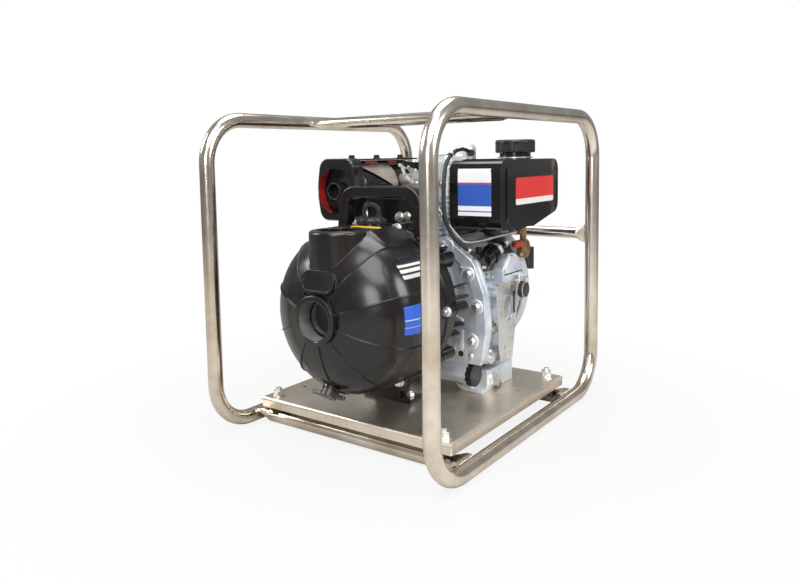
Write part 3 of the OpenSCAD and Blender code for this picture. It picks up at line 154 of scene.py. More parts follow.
# plain finishes: two tones, share of metal, roughness range, scales of blotch and grain,
# strength of the grain's relief, coat and dust; metal and coat are 0 where none is given
finishes = {
    "glossBlackIron": {
        "pale": (0.0088, 0.0066, 0.005), "dark": (0.0042, 0.0032, 0.0026),
        "rough": (0.19, 0.31), "blotch": 11, "grain": 420, "lift": 0.10, "coat": 0.10, "dust": 0.005},
    "blackPaint": {
        "pale": (0.010, 0.0095, 0.0095), "dark": (0.005, 0.005, 0.005), "rough": (0.10, 0.17),
        "blotch": 7, "grain": 300, "lift": 0.03, "coat": 0.15, "dust": 0.005},
    "blackPlastic": {
        "pale": (0.018, 0.018, 0.0185), "dark": (0.010, 0.010, 0.0105), "rough": (0.26, 0.40),
        "blotch": 14, "grain": 1400, "lift": 0.10, "coat": 0.1, "dust": 0.05},
    # black rubber; on the crankcase cover it also colours a flat disc that is painted shade of a hole
    "blackRubberAndHoleShade": {
        "pale": (0.022, 0.022, 0.022), "dark": (0.013, 0.013, 0.013), "rough": (0.50, 0.68),
        "blotch": 20, "grain": 900, "lift": 0.2, "dust": 0.08},
    "castAluminium": {
        "pale": (0.88, 0.93, 0.99), "dark": (0.60, 0.655, 0.73), "metal": 0.55, "rough": (0.28, 0.42),
        "blotch": 20, "grain": 560, "lift": 0.42, "dust": 0.10},
    "lightAluminium": {
        "pale": (0.86, 0.87, 0.88), "dark": (0.62, 0.635, 0.65), "metal": 0.6, "rough": (0.30, 0.44),
        "blotch": 18, "grain": 620, "lift": 0.28, "dust": 0.05},
    "machinedSteel": {
        "pale": (0.60, 0.60, 0.61), "dark": (0.40, 0.40, 0.41), "metal": 1.0, "rough": (0.24, 0.38),
        "blotch": 22, "grain": 800, "lift": 0.08, "dust": 0.04},
    "zincPlate": {
        "pale": (0.90, 0.89, 0.87), "dark": (0.66, 0.65, 0.63), "metal": 0.9, "rough": (0.24, 0.38),
        "blotch": 60, "grain": 1500, "lift": 0.06, "dust": 0.02},
    "pressedSteel": {
        "pale": (0.84, 0.83, 0.81), "dark": (0.60, 0.59, 0.57), "metal": 0.9, "rough": (0.22, 0.36),
        "blotch": 26, "grain": 700, "lift": 0.05, "dust": 0.05},
    "wornPort": {
        "pale": (0.20, 0.195, 0.19), "dark": (0.10, 0.098, 0.095), "metal": 0.1, "rough": (0.34, 0.50),
        "blotch": 40, "grain": 500, "lift": 0.25, "coat": 0.1, "dust": 0.06},
    "whiteEnamel": {
        "pale": (0.80, 0.80, 0.785), "dark": (0.66, 0.66, 0.645), "rough": (0.26, 0.38),
        "blotch": 40, "grain": 900, "lift": 0.05, "coat": 0.2, "dust": 0.10},
    "weldMetal": {
        "pale": (0.62, 0.58, 0.52), "dark": (0.34, 0.29, 0.24), "metal": 1.0, "rough": (0.24, 0.42),
        "blotch": 90, "grain": 1300, "lift": 0.2, "dust": 0.08},
    "plainBrass": {
        "pale": (0.76, 0.55, 0.24), "dark": (0.50, 0.35, 0.15), "metal": 1.0, "rough": (0.20, 0.34),
        "blotch": 60, "grain": 900, "lift": 0.06, "dust": 0.04},
    "heatedSteel": {
        "pale": (0.64, 0.575, 0.51), "dark": (0.36, 0.31, 0.265), "metal": 0.6, "rough": (0.30, 0.46),
        "blotch": 16, "grain": 420, "lift": 0.22, "coat": 0.1, "dust": 0.08},
    # real soot on the tail pipe; on the plate in the muffler's recess this black is painted shade
    "sootAndShadeBlack": {
        "pale": (0.020, 0.018, 0.017), "dark": (0.008, 0.0075, 0.007), "metal": 0.1,
        "rough": (0.30, 0.46), "blotch": 30, "grain": 600, "lift": 0.18, "coat": 0.1, "dust": 0.08},
    "filterBowl": {
        "pale": (0.42, 0.24, 0.10), "dark": (0.20, 0.11, 0.045), "metal": 0.6, "rough": (0.20, 0.36),
        "blotch": 40, "grain": 900, "lift": 0.10, "coat": 0.2, "dust": 0.04},
    "redPlastic": {
        "pale": (0.60, 0.030, 0.022), "dark": (0.42, 0.016, 0.014), "rough": (0.24, 0.36),
        "blotch": 30, "grain": 900, "lift": 0.05, "coat": 0.25, "dust": 0.03},
    "redEnamel": {
        "pale": (0.46, 0.016, 0.012), "dark": (0.22, 0.010, 0.008), "rough": (0.30, 0.46),
        "blotch": 50, "grain": 700, "lift": 0.12, "coat": 0.1, "dust": 0.10},
    "bluePaintDab": {
        "pale": (0.05, 0.13, 0.52), "dark": (0.02, 0.06, 0.33), "rough": (0.28, 0.40),
        "blotch": 160, "grain": 900, "lift": 0.2, "coat": 0.1, "dust": 0.03},
    "yellowStrip": {
        "pale": (0.83, 0.52, 0.035), "dark": (0.68, 0.40, 0.020), "rough": (0.34, 0.44),
        "blotch": 40, "grain": 900, "lift": 0.05, "coat": 0.1, "dust": 0.10},
}


def plainFinish(name):
    row = {"metal": 0.0, "coat": 0.0, **finishes[name]}
    made, r = material(name)
    blotch = r.noise(row["blotch"], 4, 0.6)
    grain = r.noise(row["grain"], 2, 0.5)
    speck = r.step(r.noise(row["grain"] * 0.21, 3, 0.7), 0.60, 0.74)
    tone = r.blend(r.step(blotch, 0.3, 0.72), row["dark"], row["pale"])
    dusty = r.blend(speck * row["dust"], tone, (0.42, 0.38, 0.33))
    low, high = row["rough"]
    rough = (r.step(blotch, 0.25, 0.75) * 0.6 + grain * 0.4) * (high - low) + low + speck * 0.08
    relief = r.bump(grain, row["lift"], 0.0006)
    r.surface(Base_Color=dusty, Metallic=row["metal"], Roughness=rough, Coat_Weight=row["coat"],
              Coat_Roughness=0.10, Normal=relief)
    return made


tubeFinish = {"pale": (0.96, 0.88, 0.765), "dark": (0.58, 0.49, 0.375), "stain": (0.38, 0.29, 0.21),
              "stained": 0.3, "rough": 0.12, "relief": 0.035}


def brushedTube():
    # polished tube: soft clouds of tone, two directions of fine scratches, brown stains
    made, r = material("brushedTube")
    smear = r.noise(9, 5, 0.66)
    around = r.noise(240, 3, 0.6, (1, 1, 0.10))
    along = r.noise(900, 2, 0.6, (0.12, 0.12, 1))
    mark = r.step(r.noise(46, 5, 0.75), 0.64, 0.80)
    tone = r.blend(r.step(smear, 0.25, 0.75), tubeFinish["dark"], tubeFinish["pale"])
    stained = r.blend(mark * tubeFinish["stained"], tone, tubeFinish["stain"])
    rough = smear * 0.08 + around * 0.07 + tubeFinish["rough"] + mark * 0.06
    relief = r.bump(around * 0.6 + along * 0.4, tubeFinish["relief"], 0.0003)
    r.surface(Base_Color=stained, Metallic=1.0, Roughness=rough, Normal=relief)
    return made


plateFinish = {"pale": (0.92, 0.83, 0.70), "dark": (0.70, 0.61, 0.48), "stain": (0.46, 0.37, 0.28),
               "stained": 0.42, "rough": 0.20, "relief": 0.10}


def sheetStainless():
    # rolled sheet: clouds, lines along its length and darker handling marks
    made, r = material("sheetStainless")
    smear = r.noise(6, 6, 0.70, (1, 0.6, 1))
    line = r.noise(900, 2, 0.55, (1, 0.03, 1))
    mark = r.step(r.noise(22, 6, 0.74), 0.54, 0.72)
    tone = r.blend(r.step(smear, 0.32, 0.66), plateFinish["dark"], plateFinish["pale"])
    stained = r.blend(mark * plateFinish["stained"], tone, plateFinish["stain"])
    rough = smear * 0.24 + line * 0.10 + plateFinish["rough"] + mark * 0.10
    relief = r.bump(line * 0.5 + smear * 3, plateFinish["relief"], 0.0004)
    r.surface(Base_Color=stained, Metallic=1.0, Roughness=rough, Normal=relief)
    return made


cordFinish = {"dark": (0.45, 0.44, 0.42), "pale": (0.80, 0.79, 0.76), "weave": 2600, "rough": 0.8}


def braidedCord():
    # two crossing waves stand for the strands
    made, r = material("braidedCord")
    x, y, z = r.axes()
    weave = cordFinish["weave"]
    braid = ((x * weave).wave() * (y * weave + z * weave).wave()) * 0.5 + 0.5
    tone = r.blend(braid, cordFinish["dark"], cordFinish["pale"])
    r.surface(Base_Color=tone, Roughness=cordFinish["rough"], Normal=r.bump(braid, 0.5, 0.0004))
    return made


labelEdge = 0.0002  # softness of a band's edge, in metres
labels = {
    "tankFrontLabel": {"base": (0.84, 0.85, 0.86), "bands": [
        (0.3845, 0.4215, (0.03, 0.10, 0.46)), (0.4215, 0.4240, (0.66, 0.03, 0.03)),
        (0.3745, 0.3765, (0.03, 0.10, 0.46))]},
    "tankSideLabel": {"base": (0.62, 0.025, 0.022), "bands": [(0.3835, 0.3935, (0.74, 0.72, 0.70))]},
    "ratingPlate": {"base": (0.013, 0.013, 0.014), "bands": [
        (0.2945, 0.2995, (0.60, 0.60, 0.58)), (0.2860, 0.2915, (0.52, 0.52, 0.50)),
        (0.3025, 0.3060, (0.60, 0.60, 0.58))]},
    "blueSticker": {"base": (0.022, 0.10, 0.50), "bands": [
        (0.2262, 0.2275, (0.55, 0.60, 0.75)), (0.2155, 0.2163, (0.40, 0.46, 0.66))]},
}


def inRange(r, value, low, high):
    # 1 between two heights, 0 elsewhere
    rise = r.ramp(value, low - labelEdge, low + labelEdge)
    fall = r.ramp(value, high + labelEdge, high - labelEdge)
    return rise.both(fall)


def bandedLabel(name):
    # a printed label whose colour bands lie at given heights, with faint wear
    made, r = material(name)
    height = r.axes()[2]
    tone = labels[name]["base"]
    for low, high, colour in labels[name]["bands"]:
        tone = r.blend(inRange(r, height, low, high), tone, colour)
    wear = r.step(r.noise(180, 5, 0.75), 0.62, 0.80)
    tone = r.blend(wear * 0.18, tone, (0.30, 0.28, 0.26))
    dust = r.noise(60, 4, 0.6)
    r.surface(Base_Color=tone, Roughness=dust * 0.14 + 0.30, Coat_Weight=0.15, Coat_Roughness=0.2,
              Normal=r.bump(dust, 0.04, 0.0002))
    return made


paint = {name: plainFinish(name) for name in finishes}
paint["brushedTube"] = brushedTube()
paint["sheetStainless"] = sheetStainless()
paint["braidedCord"] = braidedCord()
for name in labels:
    paint[name] = bandedLabel(name)

# CAD pieces that wear each finish
nodeFinish = {
    "brushedTube": ["loop_left", "loop_right", "top_crossbar", "rear_crossbar", "front_base_bar",
                    "rear_base_bar"],
    "pressedSteel": ["side_bracket"],
    "sheetStainless": ["base_plate"],
    "glossBlackIron": ["pump_casing", "pump_adapter", "inner_volute", "impeller", "carry_handle"],
    "blackPaint": ["pump_foot", "fuel_tank", "tank_bracket", "starter_cover", "cylinder_shroud",
                   "muffler_body", "muffler_cover", "muffler_top_plate", "injection_pump",
                   "decompression_lever"],
    "blackPlastic": ["fill_cap", "drain_cap", "fuel_cap", "air_cleaner", "air_cleaner_cover",
                     "oil_filler_cap", "recoil_handle"],
    "blackRubberAndHoleShade": ["rubber_mounts", "casing_gasket", "suction_flap", "fuel_hose"],
    "castAluminium": ["crankcase", "crankcase_cover", "cylinder_block", "governor_cover", "fan_cover"],
    "lightAluminium": ["cylinder_head", "rocker_cover"],
    "machinedSteel": ["shaft_seal", "flap_pin", "main_bearings", "crankshaft", "flywheel",
                      "starter_pulley"],
    "zincPlate": ["mount_nuts", "casing_bolts", "foot_bolts", "cover_bolts", "injection_pipe",
                  "speed_lever", "oil_plugs"],
    "heatedSteel": ["muffler_guard", "exhaust_elbow"],
    "sootAndShadeBlack": ["tail_pipe"],
    "filterBowl": ["fuel_filter"],
    "redPlastic": ["fuel_cock_lever"],
    "braidedCord": ["recoil_rope"],
}


def dressNodes():
    for name, parts in nodeFinish.items():
        for part in parts:
            mesh = nodes[part].data
            mesh.materials.clear()
            mesh.materials.append(paint[name])
            for face in mesh.polygons:
                face.material_index = 0


dressNodes()
print("nodes dressed")


# tools that make a piece
def keep(thing, body, replaced=()):
    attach(thing, body)
    if replaced:
        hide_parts(*replaced)


def smoothed(mesh, sharp):
    # edges above the angle in degrees stay sharp
    mesh.shade_smooth()
    mesh.set_sharp_from_angle(angle=math.radians(sharp))


def meshThing(name, points, faces, finish, sharp):
    mesh = bpy.data.meshes.new(name)
    mesh.from_pydata([tuple(p) for p in points], [], faces)
    shape = bmesh.new()
    shape.from_mesh(mesh)
    bmesh.ops.remove_doubles(shape, verts=shape.verts, dist=1e-6)
    bmesh.ops.recalc_face_normals(shape, faces=shape.faces)
    shape.to_mesh(mesh)
    shape.free()
    mesh.materials.append(paint[finish])
    smoothed(mesh, sharp)
    return linked(name, mesh)


def settled(thing):
    # turns live modifiers into plain mesh
    graph = bpy.context.evaluated_depsgraph_get()
    mesh = bpy.data.meshes.new_from_object(thing.evaluated_get(graph), depsgraph=graph)
    thing.modifiers.clear()
    old = thing.data
    thing.data = mesh
    bpy.data.meshes.remove(old)
    return thing


# angles in degrees, lengths in metres
rounding = {"angle": 32, "steps": 2, "sharp": 62, "flat": 1.2, "join": 2e-6, "weight": 80}


def softened(node, width):
    # the CAD piece again with rounded edges, in its place
    mesh = nodes[node].data.copy()
    mesh.name = node + "_soft"
    thing = linked(mesh.name, mesh)
    shape = bmesh.new()
    shape.from_mesh(mesh)
    bmesh.ops.remove_doubles(shape, verts=shape.verts, dist=rounding["join"])
    bmesh.ops.dissolve_degenerate(shape, edges=shape.edges, dist=rounding["join"])
    flat = math.radians(rounding["flat"])
    bmesh.ops.dissolve_limit(shape, angle_limit=flat, verts=shape.verts, edges=shape.edges)
    shape.to_mesh(mesh)
    shape.free()
    smoothed(mesh, rounding["sharp"])
    bevel = thing.modifiers.new("round", "BEVEL")
    bevel.width = width
    bevel.segments = rounding["steps"]
    bevel.limit_method = "ANGLE"
    bevel.angle_limit = math.radians(rounding["angle"])
    bevel.use_clamp_overlap = node not in freeEdges
    bevel.miter_outer = "MITER_ARC"
    weighted = thing.modifiers.new("weighted", "WEIGHTED_NORMAL")
    weighted.mode = "FACE_AREA"
    weighted.weight = rounding["weight"]
    weighted.keep_sharp = False
    settled(thing)
    keep(thing, bodyOf[node], replaced=(node,))


# geometry nodes: small bolts, tubes along a path, weld beads
class Growth:
    def __init__(self, name, sizes):
        self.tree = bpy.data.node_groups.new(name, "GeometryNodeTree")
        face = self.tree.interface
        face.new_socket("Geometry", in_out="INPUT", socket_type="NodeSocketGeometry")
        for key, (kind, value) in sizes.items():
            made = face.new_socket(key, in_out="INPUT", socket_type="NodeSocket" + kind)
            if value is not None:
                made.default_value = value
        face.new_socket("Geometry", in_out="OUTPUT", socket_type="NodeSocketGeometry")
        self.start = self.tree.nodes.new("NodeGroupInput")

    def given(self, key):
        return self.start.outputs[key]

    def make(self, kind, sockets=None, out=0, **settings):
        node = self.tree.nodes.new(kind)
        for key, value in settings.items():
            setattr(node, key, value)
        for key, value in (sockets or {}).items():
            slot = node.inputs[key]
            for one in value if isinstance(value, list) else [value]:
                if isinstance(one, bpy.types.NodeSocket):
                    self.tree.links.new(one, slot)
                else:
                    slot.default_value = one
        return node.outputs[out]

    def end(self, geometry):
        whole = self.make("GeometryNodeRealizeInstances", {0: geometry})
        finish = self.given("Finish")
        dressed = self.make("GeometryNodeSetMaterial", {"Geometry": whole, "Material": finish})
        close = self.tree.nodes.new("NodeGroupOutput")
        self.tree.links.new(dressed, close.inputs[0])
        return self.tree


def grow(tree, thing, values):
    change = thing.modifiers.new("grow", "NODES")
    change.node_group = tree
    for item in tree.interface.items_tree:
        if item.item_type == "SOCKET" and item.in_out == "INPUT" and item.name in values:
            change[item.identifier] = values[item.name]
    return settled(thing)


def boltTree():
    # washer, head with the given number of sides, and a low crown on it
    g = Growth("bolt", {
        "Sides": ("Int", 6), "Across": ("Float", 0.01), "Height": ("Float", 0.005),
        "Washer": ("Float", 0.009), "Sheet": ("Float", 0.0012), "Finish": ("Material", None)})
    across, height, sheet, washer = (g.given(key) for key in ("Across", "Height", "Sheet", "Washer"))

    def calc(operation, a, b):
        return g.make("ShaderNodeMath", {0: a, 1: b}, operation=operation)

    def raised(shape, level):
        place = g.make("ShaderNodeCombineXYZ", {"Z": level})
        return g.make("GeometryNodeTransform", {"Geometry": shape, "Translation": place})

    disc = g.make("GeometryNodeMeshCylinder", {"Vertices": 24, "Radius": washer, "Depth": sheet})
    head = g.make("GeometryNodeMeshCylinder", {
        "Vertices": g.given("Sides"), "Radius": across, "Depth": height})
    crown = g.make("GeometryNodeMeshCone", {
        "Vertices": 24, "Radius Top": calc("MULTIPLY", across, 0.55),
        "Radius Bottom": calc("MULTIPLY", across, 0.86), "Depth": calc("MULTIPLY", height, 0.14)})
    joined = g.make("GeometryNodeJoinGeometry", {0: [
        raised(disc, calc("MULTIPLY", sheet, 0.5)),
        raised(head, calc("ADD", sheet, calc("MULTIPLY", height, 0.5))),
        raised(crown, calc("ADD", sheet, height))]})
    aim = g.make("GeometryNodeInputNamedAttribute", {"Name": "aim"}, data_type="FLOAT_VECTOR")
    turn = g.make("FunctionNodeAlignRotationToVector", {"Vector": aim}, axis="Z")
    size = g.make("GeometryNodeInputNamedAttribute", {"Name": "size"}, data_type="FLOAT")
    placed = g.make("GeometryNodeInstanceOnPoints", {
        "Points": g.given("Geometry"), "Instance": joined, "Rotation": turn, "Scale": size})
    return g.end(placed)


def tubeTree():
    g = Growth("tubeAlong", {
        "Radius": ("Float", 0.003), "Sides": ("Int", 16), "Spacing": ("Float", 0.003),
        "Finish": ("Material", None)})
    curve = g.make("GeometryNodeMeshToCurve", {0: g.given("Geometry")})
    smooth = g.make("GeometryNodeCurveSplineType", {"Curve": curve}, spline_type="CATMULL_ROM")
    length = g.given("Spacing")
    even = g.make("GeometryNodeResampleCurve", {"Curve": smooth, "Length": length}, mode="LENGTH")
    ring = g.make("GeometryNodeCurvePrimitiveCircle", {
        "Resolution": g.given("Sides"), "Radius": g.given("Radius")})
    skin = g.make("GeometryNodeCurveToMesh", {"Curve": even, "Profile Curve": ring, "Fill Caps": True})
    return g.end(skin)


def beadTree():
    # a row of flattened drops
    g = Growth("weldBead", {
        "Radius": ("Float", 0.003), "Pitch": ("Float", 0.0016), "Finish": ("Material", None)})
    curve = g.make("GeometryNodeMeshToCurve", {0: g.given("Geometry")})
    length = g.given("Pitch")
    even = g.make("GeometryNodeResampleCurve", {"Curve": curve, "Length": length}, mode="LENGTH")
    drop = g.make("GeometryNodeMeshIcoSphere", {"Radius": g.given("Radius"), "Subdivisions": 2})
    way = g.make("GeometryNodeInputTangent")
    turn = g.make("FunctionNodeAlignRotationToVector", {"Vector": way}, axis="Z")
    flat = g.make("ShaderNodeCombineXYZ", {"X": 1.0, "Y": 1.0, "Z": 0.62})
    drops = g.make("GeometryNodeInstanceOnPoints", {
        "Points": even, "Instance": drop, "Rotation": turn, "Scale": flat})
    return g.end(drops)


trees = {"bolt": boltTree(), "tube": tubeTree(), "bead": beadTree()}


def pointCloud(name, rows):
    # rows of (place, aim, size)
    mesh = bpy.data.meshes.new(name)
    mesh.from_pydata([place for place, aim, size in rows], [], [])
    mesh.attributes.new("aim", "FLOAT_VECTOR", "POINT")
    mesh.attributes.new("size", "FLOAT", "POINT")
    aims, sizes = mesh.attributes["aim"], mesh.attributes["size"]
    for k, (place, aim, size) in enumerate(rows):
        aims.data[k].vector = aim
        sizes.data[k].value = size
    return linked(name, mesh)


def pathThing(name, lines):
    mesh = bpy.data.meshes.new(name)
    points, edges = [], []
    for line in lines:
        first = len(points)
        points += [tuple(p) for p in line]
        edges += [(first + k, first + k + 1) for k in range(len(line) - 1)]
    mesh.from_pydata(points, edges, [])
    return linked(name, mesh)


# small zinc bolts: way out, sizes in metres, then places in mm and the share of the size at each
smallBolts = {
    "strap_bolts": {
        "aim": (0, -1, 0), "Across": 0.0052, "Height": 0.0036, "Washer": 0.0066, "Sheet": 0.0009,
        "places": [((-19, 30.2, 197), 0.8), ((-32, 30.0, 226.5), 0.7)]},
    "cowl_bolts": {
        "aim": (0, -1, 0), "Across": 0.0056, "Height": 0.0044, "Washer": 0.0072, "Sheet": 0.001,
        "places": [((-9.8, -34.0, 140), 1.3), ((6, -34.0, 142), 1.1)]},
    "cover_screws": {
        "aim": (0, -1, 0), "Across": 0.0052, "Height": 0.0034, "Washer": 0.0066, "Sheet": 0.0009,
        "places": [((112, 0.1, -102), 0.8), ((93, -0.1, 52), 0.62)]},
    "governor_screws": {
        "aim": (1, 0, 0), "Across": 0.0050, "Height": 0.0036, "Washer": 0.0062, "Sheet": 0.0008,
        "places": [((143, 68, 8), 0.62), ((143, 131, 8.5), 0.62), ((143, 133, 63.5), 0.62),
                   ((143, 93, 64.5), 0.62), ((143, 67.5, 41), 0.62)]},
    "case_side_bolts": {
        "aim": (1, 0, 0), "Across": 0.0062, "Height": 0.0052, "Washer": 0.0078, "Sheet": 0.0012,
        "places": [((124, 34, 34), 0.95), ((124, 52, 30), 0.8), ((124, 40, -20), 0.7),
                   ((124, 26, 52), 0.6)]},
}


def boltSet(name):
    kind = smallBolts[name]
    rows = [(onShaft(*place), kind["aim"], share) for place, share in kind["places"]]
    values = {key: kind[key] for key in ("Across", "Height", "Washer", "Sheet")}
    values["Finish"] = paint["zincPlate"]
    thing = grow(trees["bolt"], pointCloud(name, rows), values)
    smoothed(thing.data, sharp=30)
    keep(thing, "frame")


def tubePiece(name, line, size, body, finish):
    thing = grow(trees["tube"], pathThing(name, [line]), {
        "Radius": size["radius"] * mm, "Spacing": size["spacing"] * mm, "Finish": paint[finish]})
    smoothed(thing.data, sharp=50)
    keep(thing, body)


def welds(name, lines, size, body, finish):
    thing = grow(trees["bead"], pathThing(name, lines), {
        "Radius": size["radius"] * mm, "Pitch": size["pitch"] * mm, "Finish": paint[finish]})
    thing.data.shade_smooth()
    keep(thing, body)


# shapes drawn on a face: "x" looks out of the tank's side, "y" out of the suction side, "z" up
faceAxes = {
    "x": (Vector((0, 1, 0)), Vector((0, 0, 1)), Vector((1, 0, 0))),
    "y": (Vector((1, 0, 0)), Vector((0, 0, 1)), Vector((0, -1, 0))),
    "z": (Vector((1, 0, 0)), Vector((0, 1, 0)), Vector((0, 0, 1))),
}


def onShaft(x, y, z):
    # a place in millimetres, with its height taken from the shaft
    return Vector((x, y, z)) * mm + Vector((0, 0, axisHeight))


class Shape:
    def __init__(self):
        self.points = []
        self.faces = []

    def ringed(self, rings, closed=False):
        # a skin over rings of as many points each, open ends filled
        first, count = len(self.points), len(rings[0])
        for ring in rings:
            self.points += ring
        for j in range(len(rings) - 1):
            for k in range(count):
                a, b = first + j * count + k, first + j * count + (k + 1) % count
                self.faces.append((a, b, b + count, a + count))
        if not closed:
            self.faces.append(tuple(first + k for k in range(count))[::-1])
            self.faces.append(tuple(first + (len(rings) - 1) * count + k for k in range(count)))

    def slab(self, face, outline, level, edge=0.0):
        # outline in mm on the face, between two levels along its way out; edge chamfers the outer rim
        across, up, out = faceAxes[face]
        middle = sum((Vector(p) for p in outline), Vector((0, 0))) / len(outline)
        low, high = level
        steps = [(low, 0.0), (high - edge, 0.0)]
        if edge:
            steps += [(high - edge * 0.3, 0.3 * edge), (high, edge)]
        rings = []
        for height, inset in steps:
            ring = []
            for p in outline:
                away = Vector(p) - middle
                q = middle + away * max(1 - inset / max(away.length, 1e-6), 0)
                ring.append((across * q.x + up * q.y + out * height) * mm + Vector((0, 0, axisHeight)))
            rings.append(ring)
        self.ringed(rings)

    def box(self, face, corners, corner, level, edge=0.0):
        # corners as low across, low up, high across, high up
        a0, b0, a1, b1 = corners
        outline = roundedOutline([(a0, b0), (a1, b0), (a1, b1), (a0, b1)], corner)
        self.slab(face, outline, level, edge)

    def lathe(self, place, aim, profile, steps, hollow=False):
        # profile of (radius, height) in mm, turned about aim; a hollow one is a ring
        if hollow:
            profile = profile + profile[:1]
        place = onShaft(*place)
        aim = Vector(aim).normalized()
        side = aim.orthogonal().normalized()
        other = aim.cross(side)
        turns = [2 * math.pi * k / steps for k in range(steps)]
        rings = []
        for radius, height in profile:
            rings.append([place + (side * math.cos(turn) + other * math.sin(turn)) * radius * mm
                          + aim * height * mm for turn in turns])
        self.ringed(rings, hollow)

    def piece(self, name, body, slot, finish, sharp=38):
        keep(meshThing(name, self.points, self.faces, finish, sharp), body)


def formed(forms, *where):
    # a piece of turned forms and boxes only; the other values go to piece
    shape = Shape()
    for form in forms:
        if "profile" in form:
            shape.lathe(**form)
        else:
            shape.box(**form)
    shape.piece(*where)


def roundedOutline(points, radius, steps=4):
    # corners of a convex outline in mm turned into arcs
    out = []
    count = len(points)
    for k in range(count):
        p, c, q = (Vector(points[j % count]) for j in (k - 1, k, k + 1))
        a, b = (p - c).normalized(), (q - c).normalized()
        r = min(radius, (p - c).length * 0.45, (q - c).length * 0.45)
        for j in range(steps + 1):
            t = j / steps
            out.append(tuple(c + a * r * (1 - t) ** 2 + b * r * t ** 2))
    return out


def straightLine(a, b, count=6):
    a, b = Vector(a), Vector(b)
    return [(a + (b - a) * k / (count - 1)) * mm for k in range(count)]


def bentLabel(name, finish, place, wide, tall, thick):
    # a thin closed sheet; place gives its point for two shares and a height over the surface
    points = [place(i / wide, j / tall, lift) for lift in (0.02, thick)
              for j in range(tall + 1) for i in range(wide + 1)]
    line = wide + 1
    count = line * (tall + 1)
    faces = []
    for j in range(tall):
        for i in range(wide):
            a = j * line + i
            faces.append((a, a + 1, a + line + 1, a + line))
            faces.append((count + a, count + a + line, count + a + line + 1, count + a + 1))
    rim = list(range(wide))
    rim += [wide + j * line for j in range(tall)]
    rim += [tall * line + wide - i for i in range(wide)]
    rim += [(tall - j) * line for j in range(tall)]
    for a, b in zip(rim, rim[1:] + rim[:1]):
        faces.append((a, b, count + b, count + a))
    keep(meshThing(name, points, faces, finish, sharp=40), "frame")


# CAD pieces again with rounded edges, width in mm
softEdges = {
    "pump_casing": 0.7, "carry_handle": 3.4, "pump_adapter": 0.6, "pump_foot": 1.2, "crankcase": 1.4,
    "crankcase_cover": 1.1, "cylinder_block": 0.7, "cylinder_head": 0.7, "rocker_cover": 1.0,
    "cylinder_shroud": 1.2, "muffler_cover": 2.2, "muffler_top_plate": 0.6, "tail_pipe": 0.8,
    "exhaust_elbow": 0.8, "fuel_cap": 1.2, "fill_cap": 0.9, "drain_cap": 1.2, "oil_filler_cap": 1.2,
    "air_cleaner": 1.0, "air_cleaner_cover": 0.8, "recoil_handle": 1.6, "governor_cover": 0.9,
    "injection_pump": 1.0, "fuel_filter": 0.8, "side_bracket": 0.7, "tank_bracket": 0.8,
    "starter_cover": 0.8, "speed_lever": 0.6, "fuel_cock_lever": 0.7, "decompression_lever": 0.7,
    "casing_bolts": 0.5, "cover_bolts": 0.5, "mount_nuts": 0.6, "foot_bolts": 0.5, "oil_plugs": 0.7,
    "rubber_mounts": 1.4, "base_plate": 0.5, "top_crossbar": 0.8, "rear_crossbar": 0.8,
    "front_base_bar": 0.8, "rear_base_bar": 0.8, "flywheel": 0.6,
}
# on these, the width isn't reduced where edges lie close together
freeEdges = ("carry_handle", "crankcase", "crankcase_cover", "pump_casing", "fill_cap", "fuel_cap",
             "rocker_cover")
for node, width in softEdges.items():
    softened(node, width * mm)
print("edges rounded")


# carrying frame: weld seams where the flattened tube ends meet the loops, in mm
bars = {"gapX": 436, "topY": -29, "topZ": 533.9, "rearY": 290.5, "rearZ": 313, "baseY": (-187.0, 182.0)}
seam = {"radius": 1.9, "pitch": 1.8, "inset": 13.0, "topGap": 3.0, "rearGap": 3.2, "half": 16,
        "baseInset": 9.5, "baseHalf": 19, "baseZ": 22.6}


def frameSeams():
    halfGap, half, long = bars["gapX"] / 2, seam["half"], seam["baseHalf"]
    for side, name in ((-1, "left"), (1, "right")):
        lines = []
        x = side * (halfGap - seam["inset"])
        y = bars["topY"]
        for z in (bars["topZ"] + seam["topGap"], bars["topZ"] - seam["topGap"]):
            lines.append(straightLine((x, y - half, z), (x, y + half, z)))
        z = bars["rearZ"]
        for y in (bars["rearY"] - seam["rearGap"], bars["rearY"] + seam["rearGap"]):
            lines.append(straightLine((x, y, z - half), (x, y, z + half)))
        x = side * (halfGap - seam["baseInset"])
        z = seam["baseZ"]
        for y in bars["baseY"]:
            lines.append(straightLine((x, y - long, z), (x, y + long, z)))
        welds("weld_seams_" + name, lines, seam, "frame", "weldMetal")


frameSeams()
print("frame seams laid")


# pump: labels bent over the casing, strip on its deck, rims round its ports, paint dabs on its lugs
casing = {"radius": 134, "depth": 83, "back": -190, "power": 2.1}
casingLabels = {
    "rating_plate": {"along": (-205, -143), "angles": (40, 27.5), "finish": "ratingPlate"},
    "casing_sticker": {"along": (-219, -160), "angles": (11, -8), "finish": "blueSticker"},
}


def casingRadius(y):
    if y > casing["back"]:
        return casing["radius"]
    share = min((casing["back"] - y) / casing["depth"], 1)
    lean = math.acos(share ** (casing["power"] / 2))
    return casing["radius"] * math.sin(lean) ** (2 / casing["power"])


def casingLabel(name):
    # between two places along the shaft and two angles round it
    label = casingLabels[name]
    (y0, y1), (a0, a1) = label["along"], label["angles"]

    def place(u, v, lift):
        y = y0 + (y1 - y0) * u
        turn = math.radians(a0 + (a1 - a0) * v)
        r = casingRadius(y) + lift
        return (r * math.cos(turn) * mm, y * mm, axisHeight + r * math.sin(turn) * mm)

    bentLabel(name, label["finish"], place, wide=22, tall=16, thick=0.45)


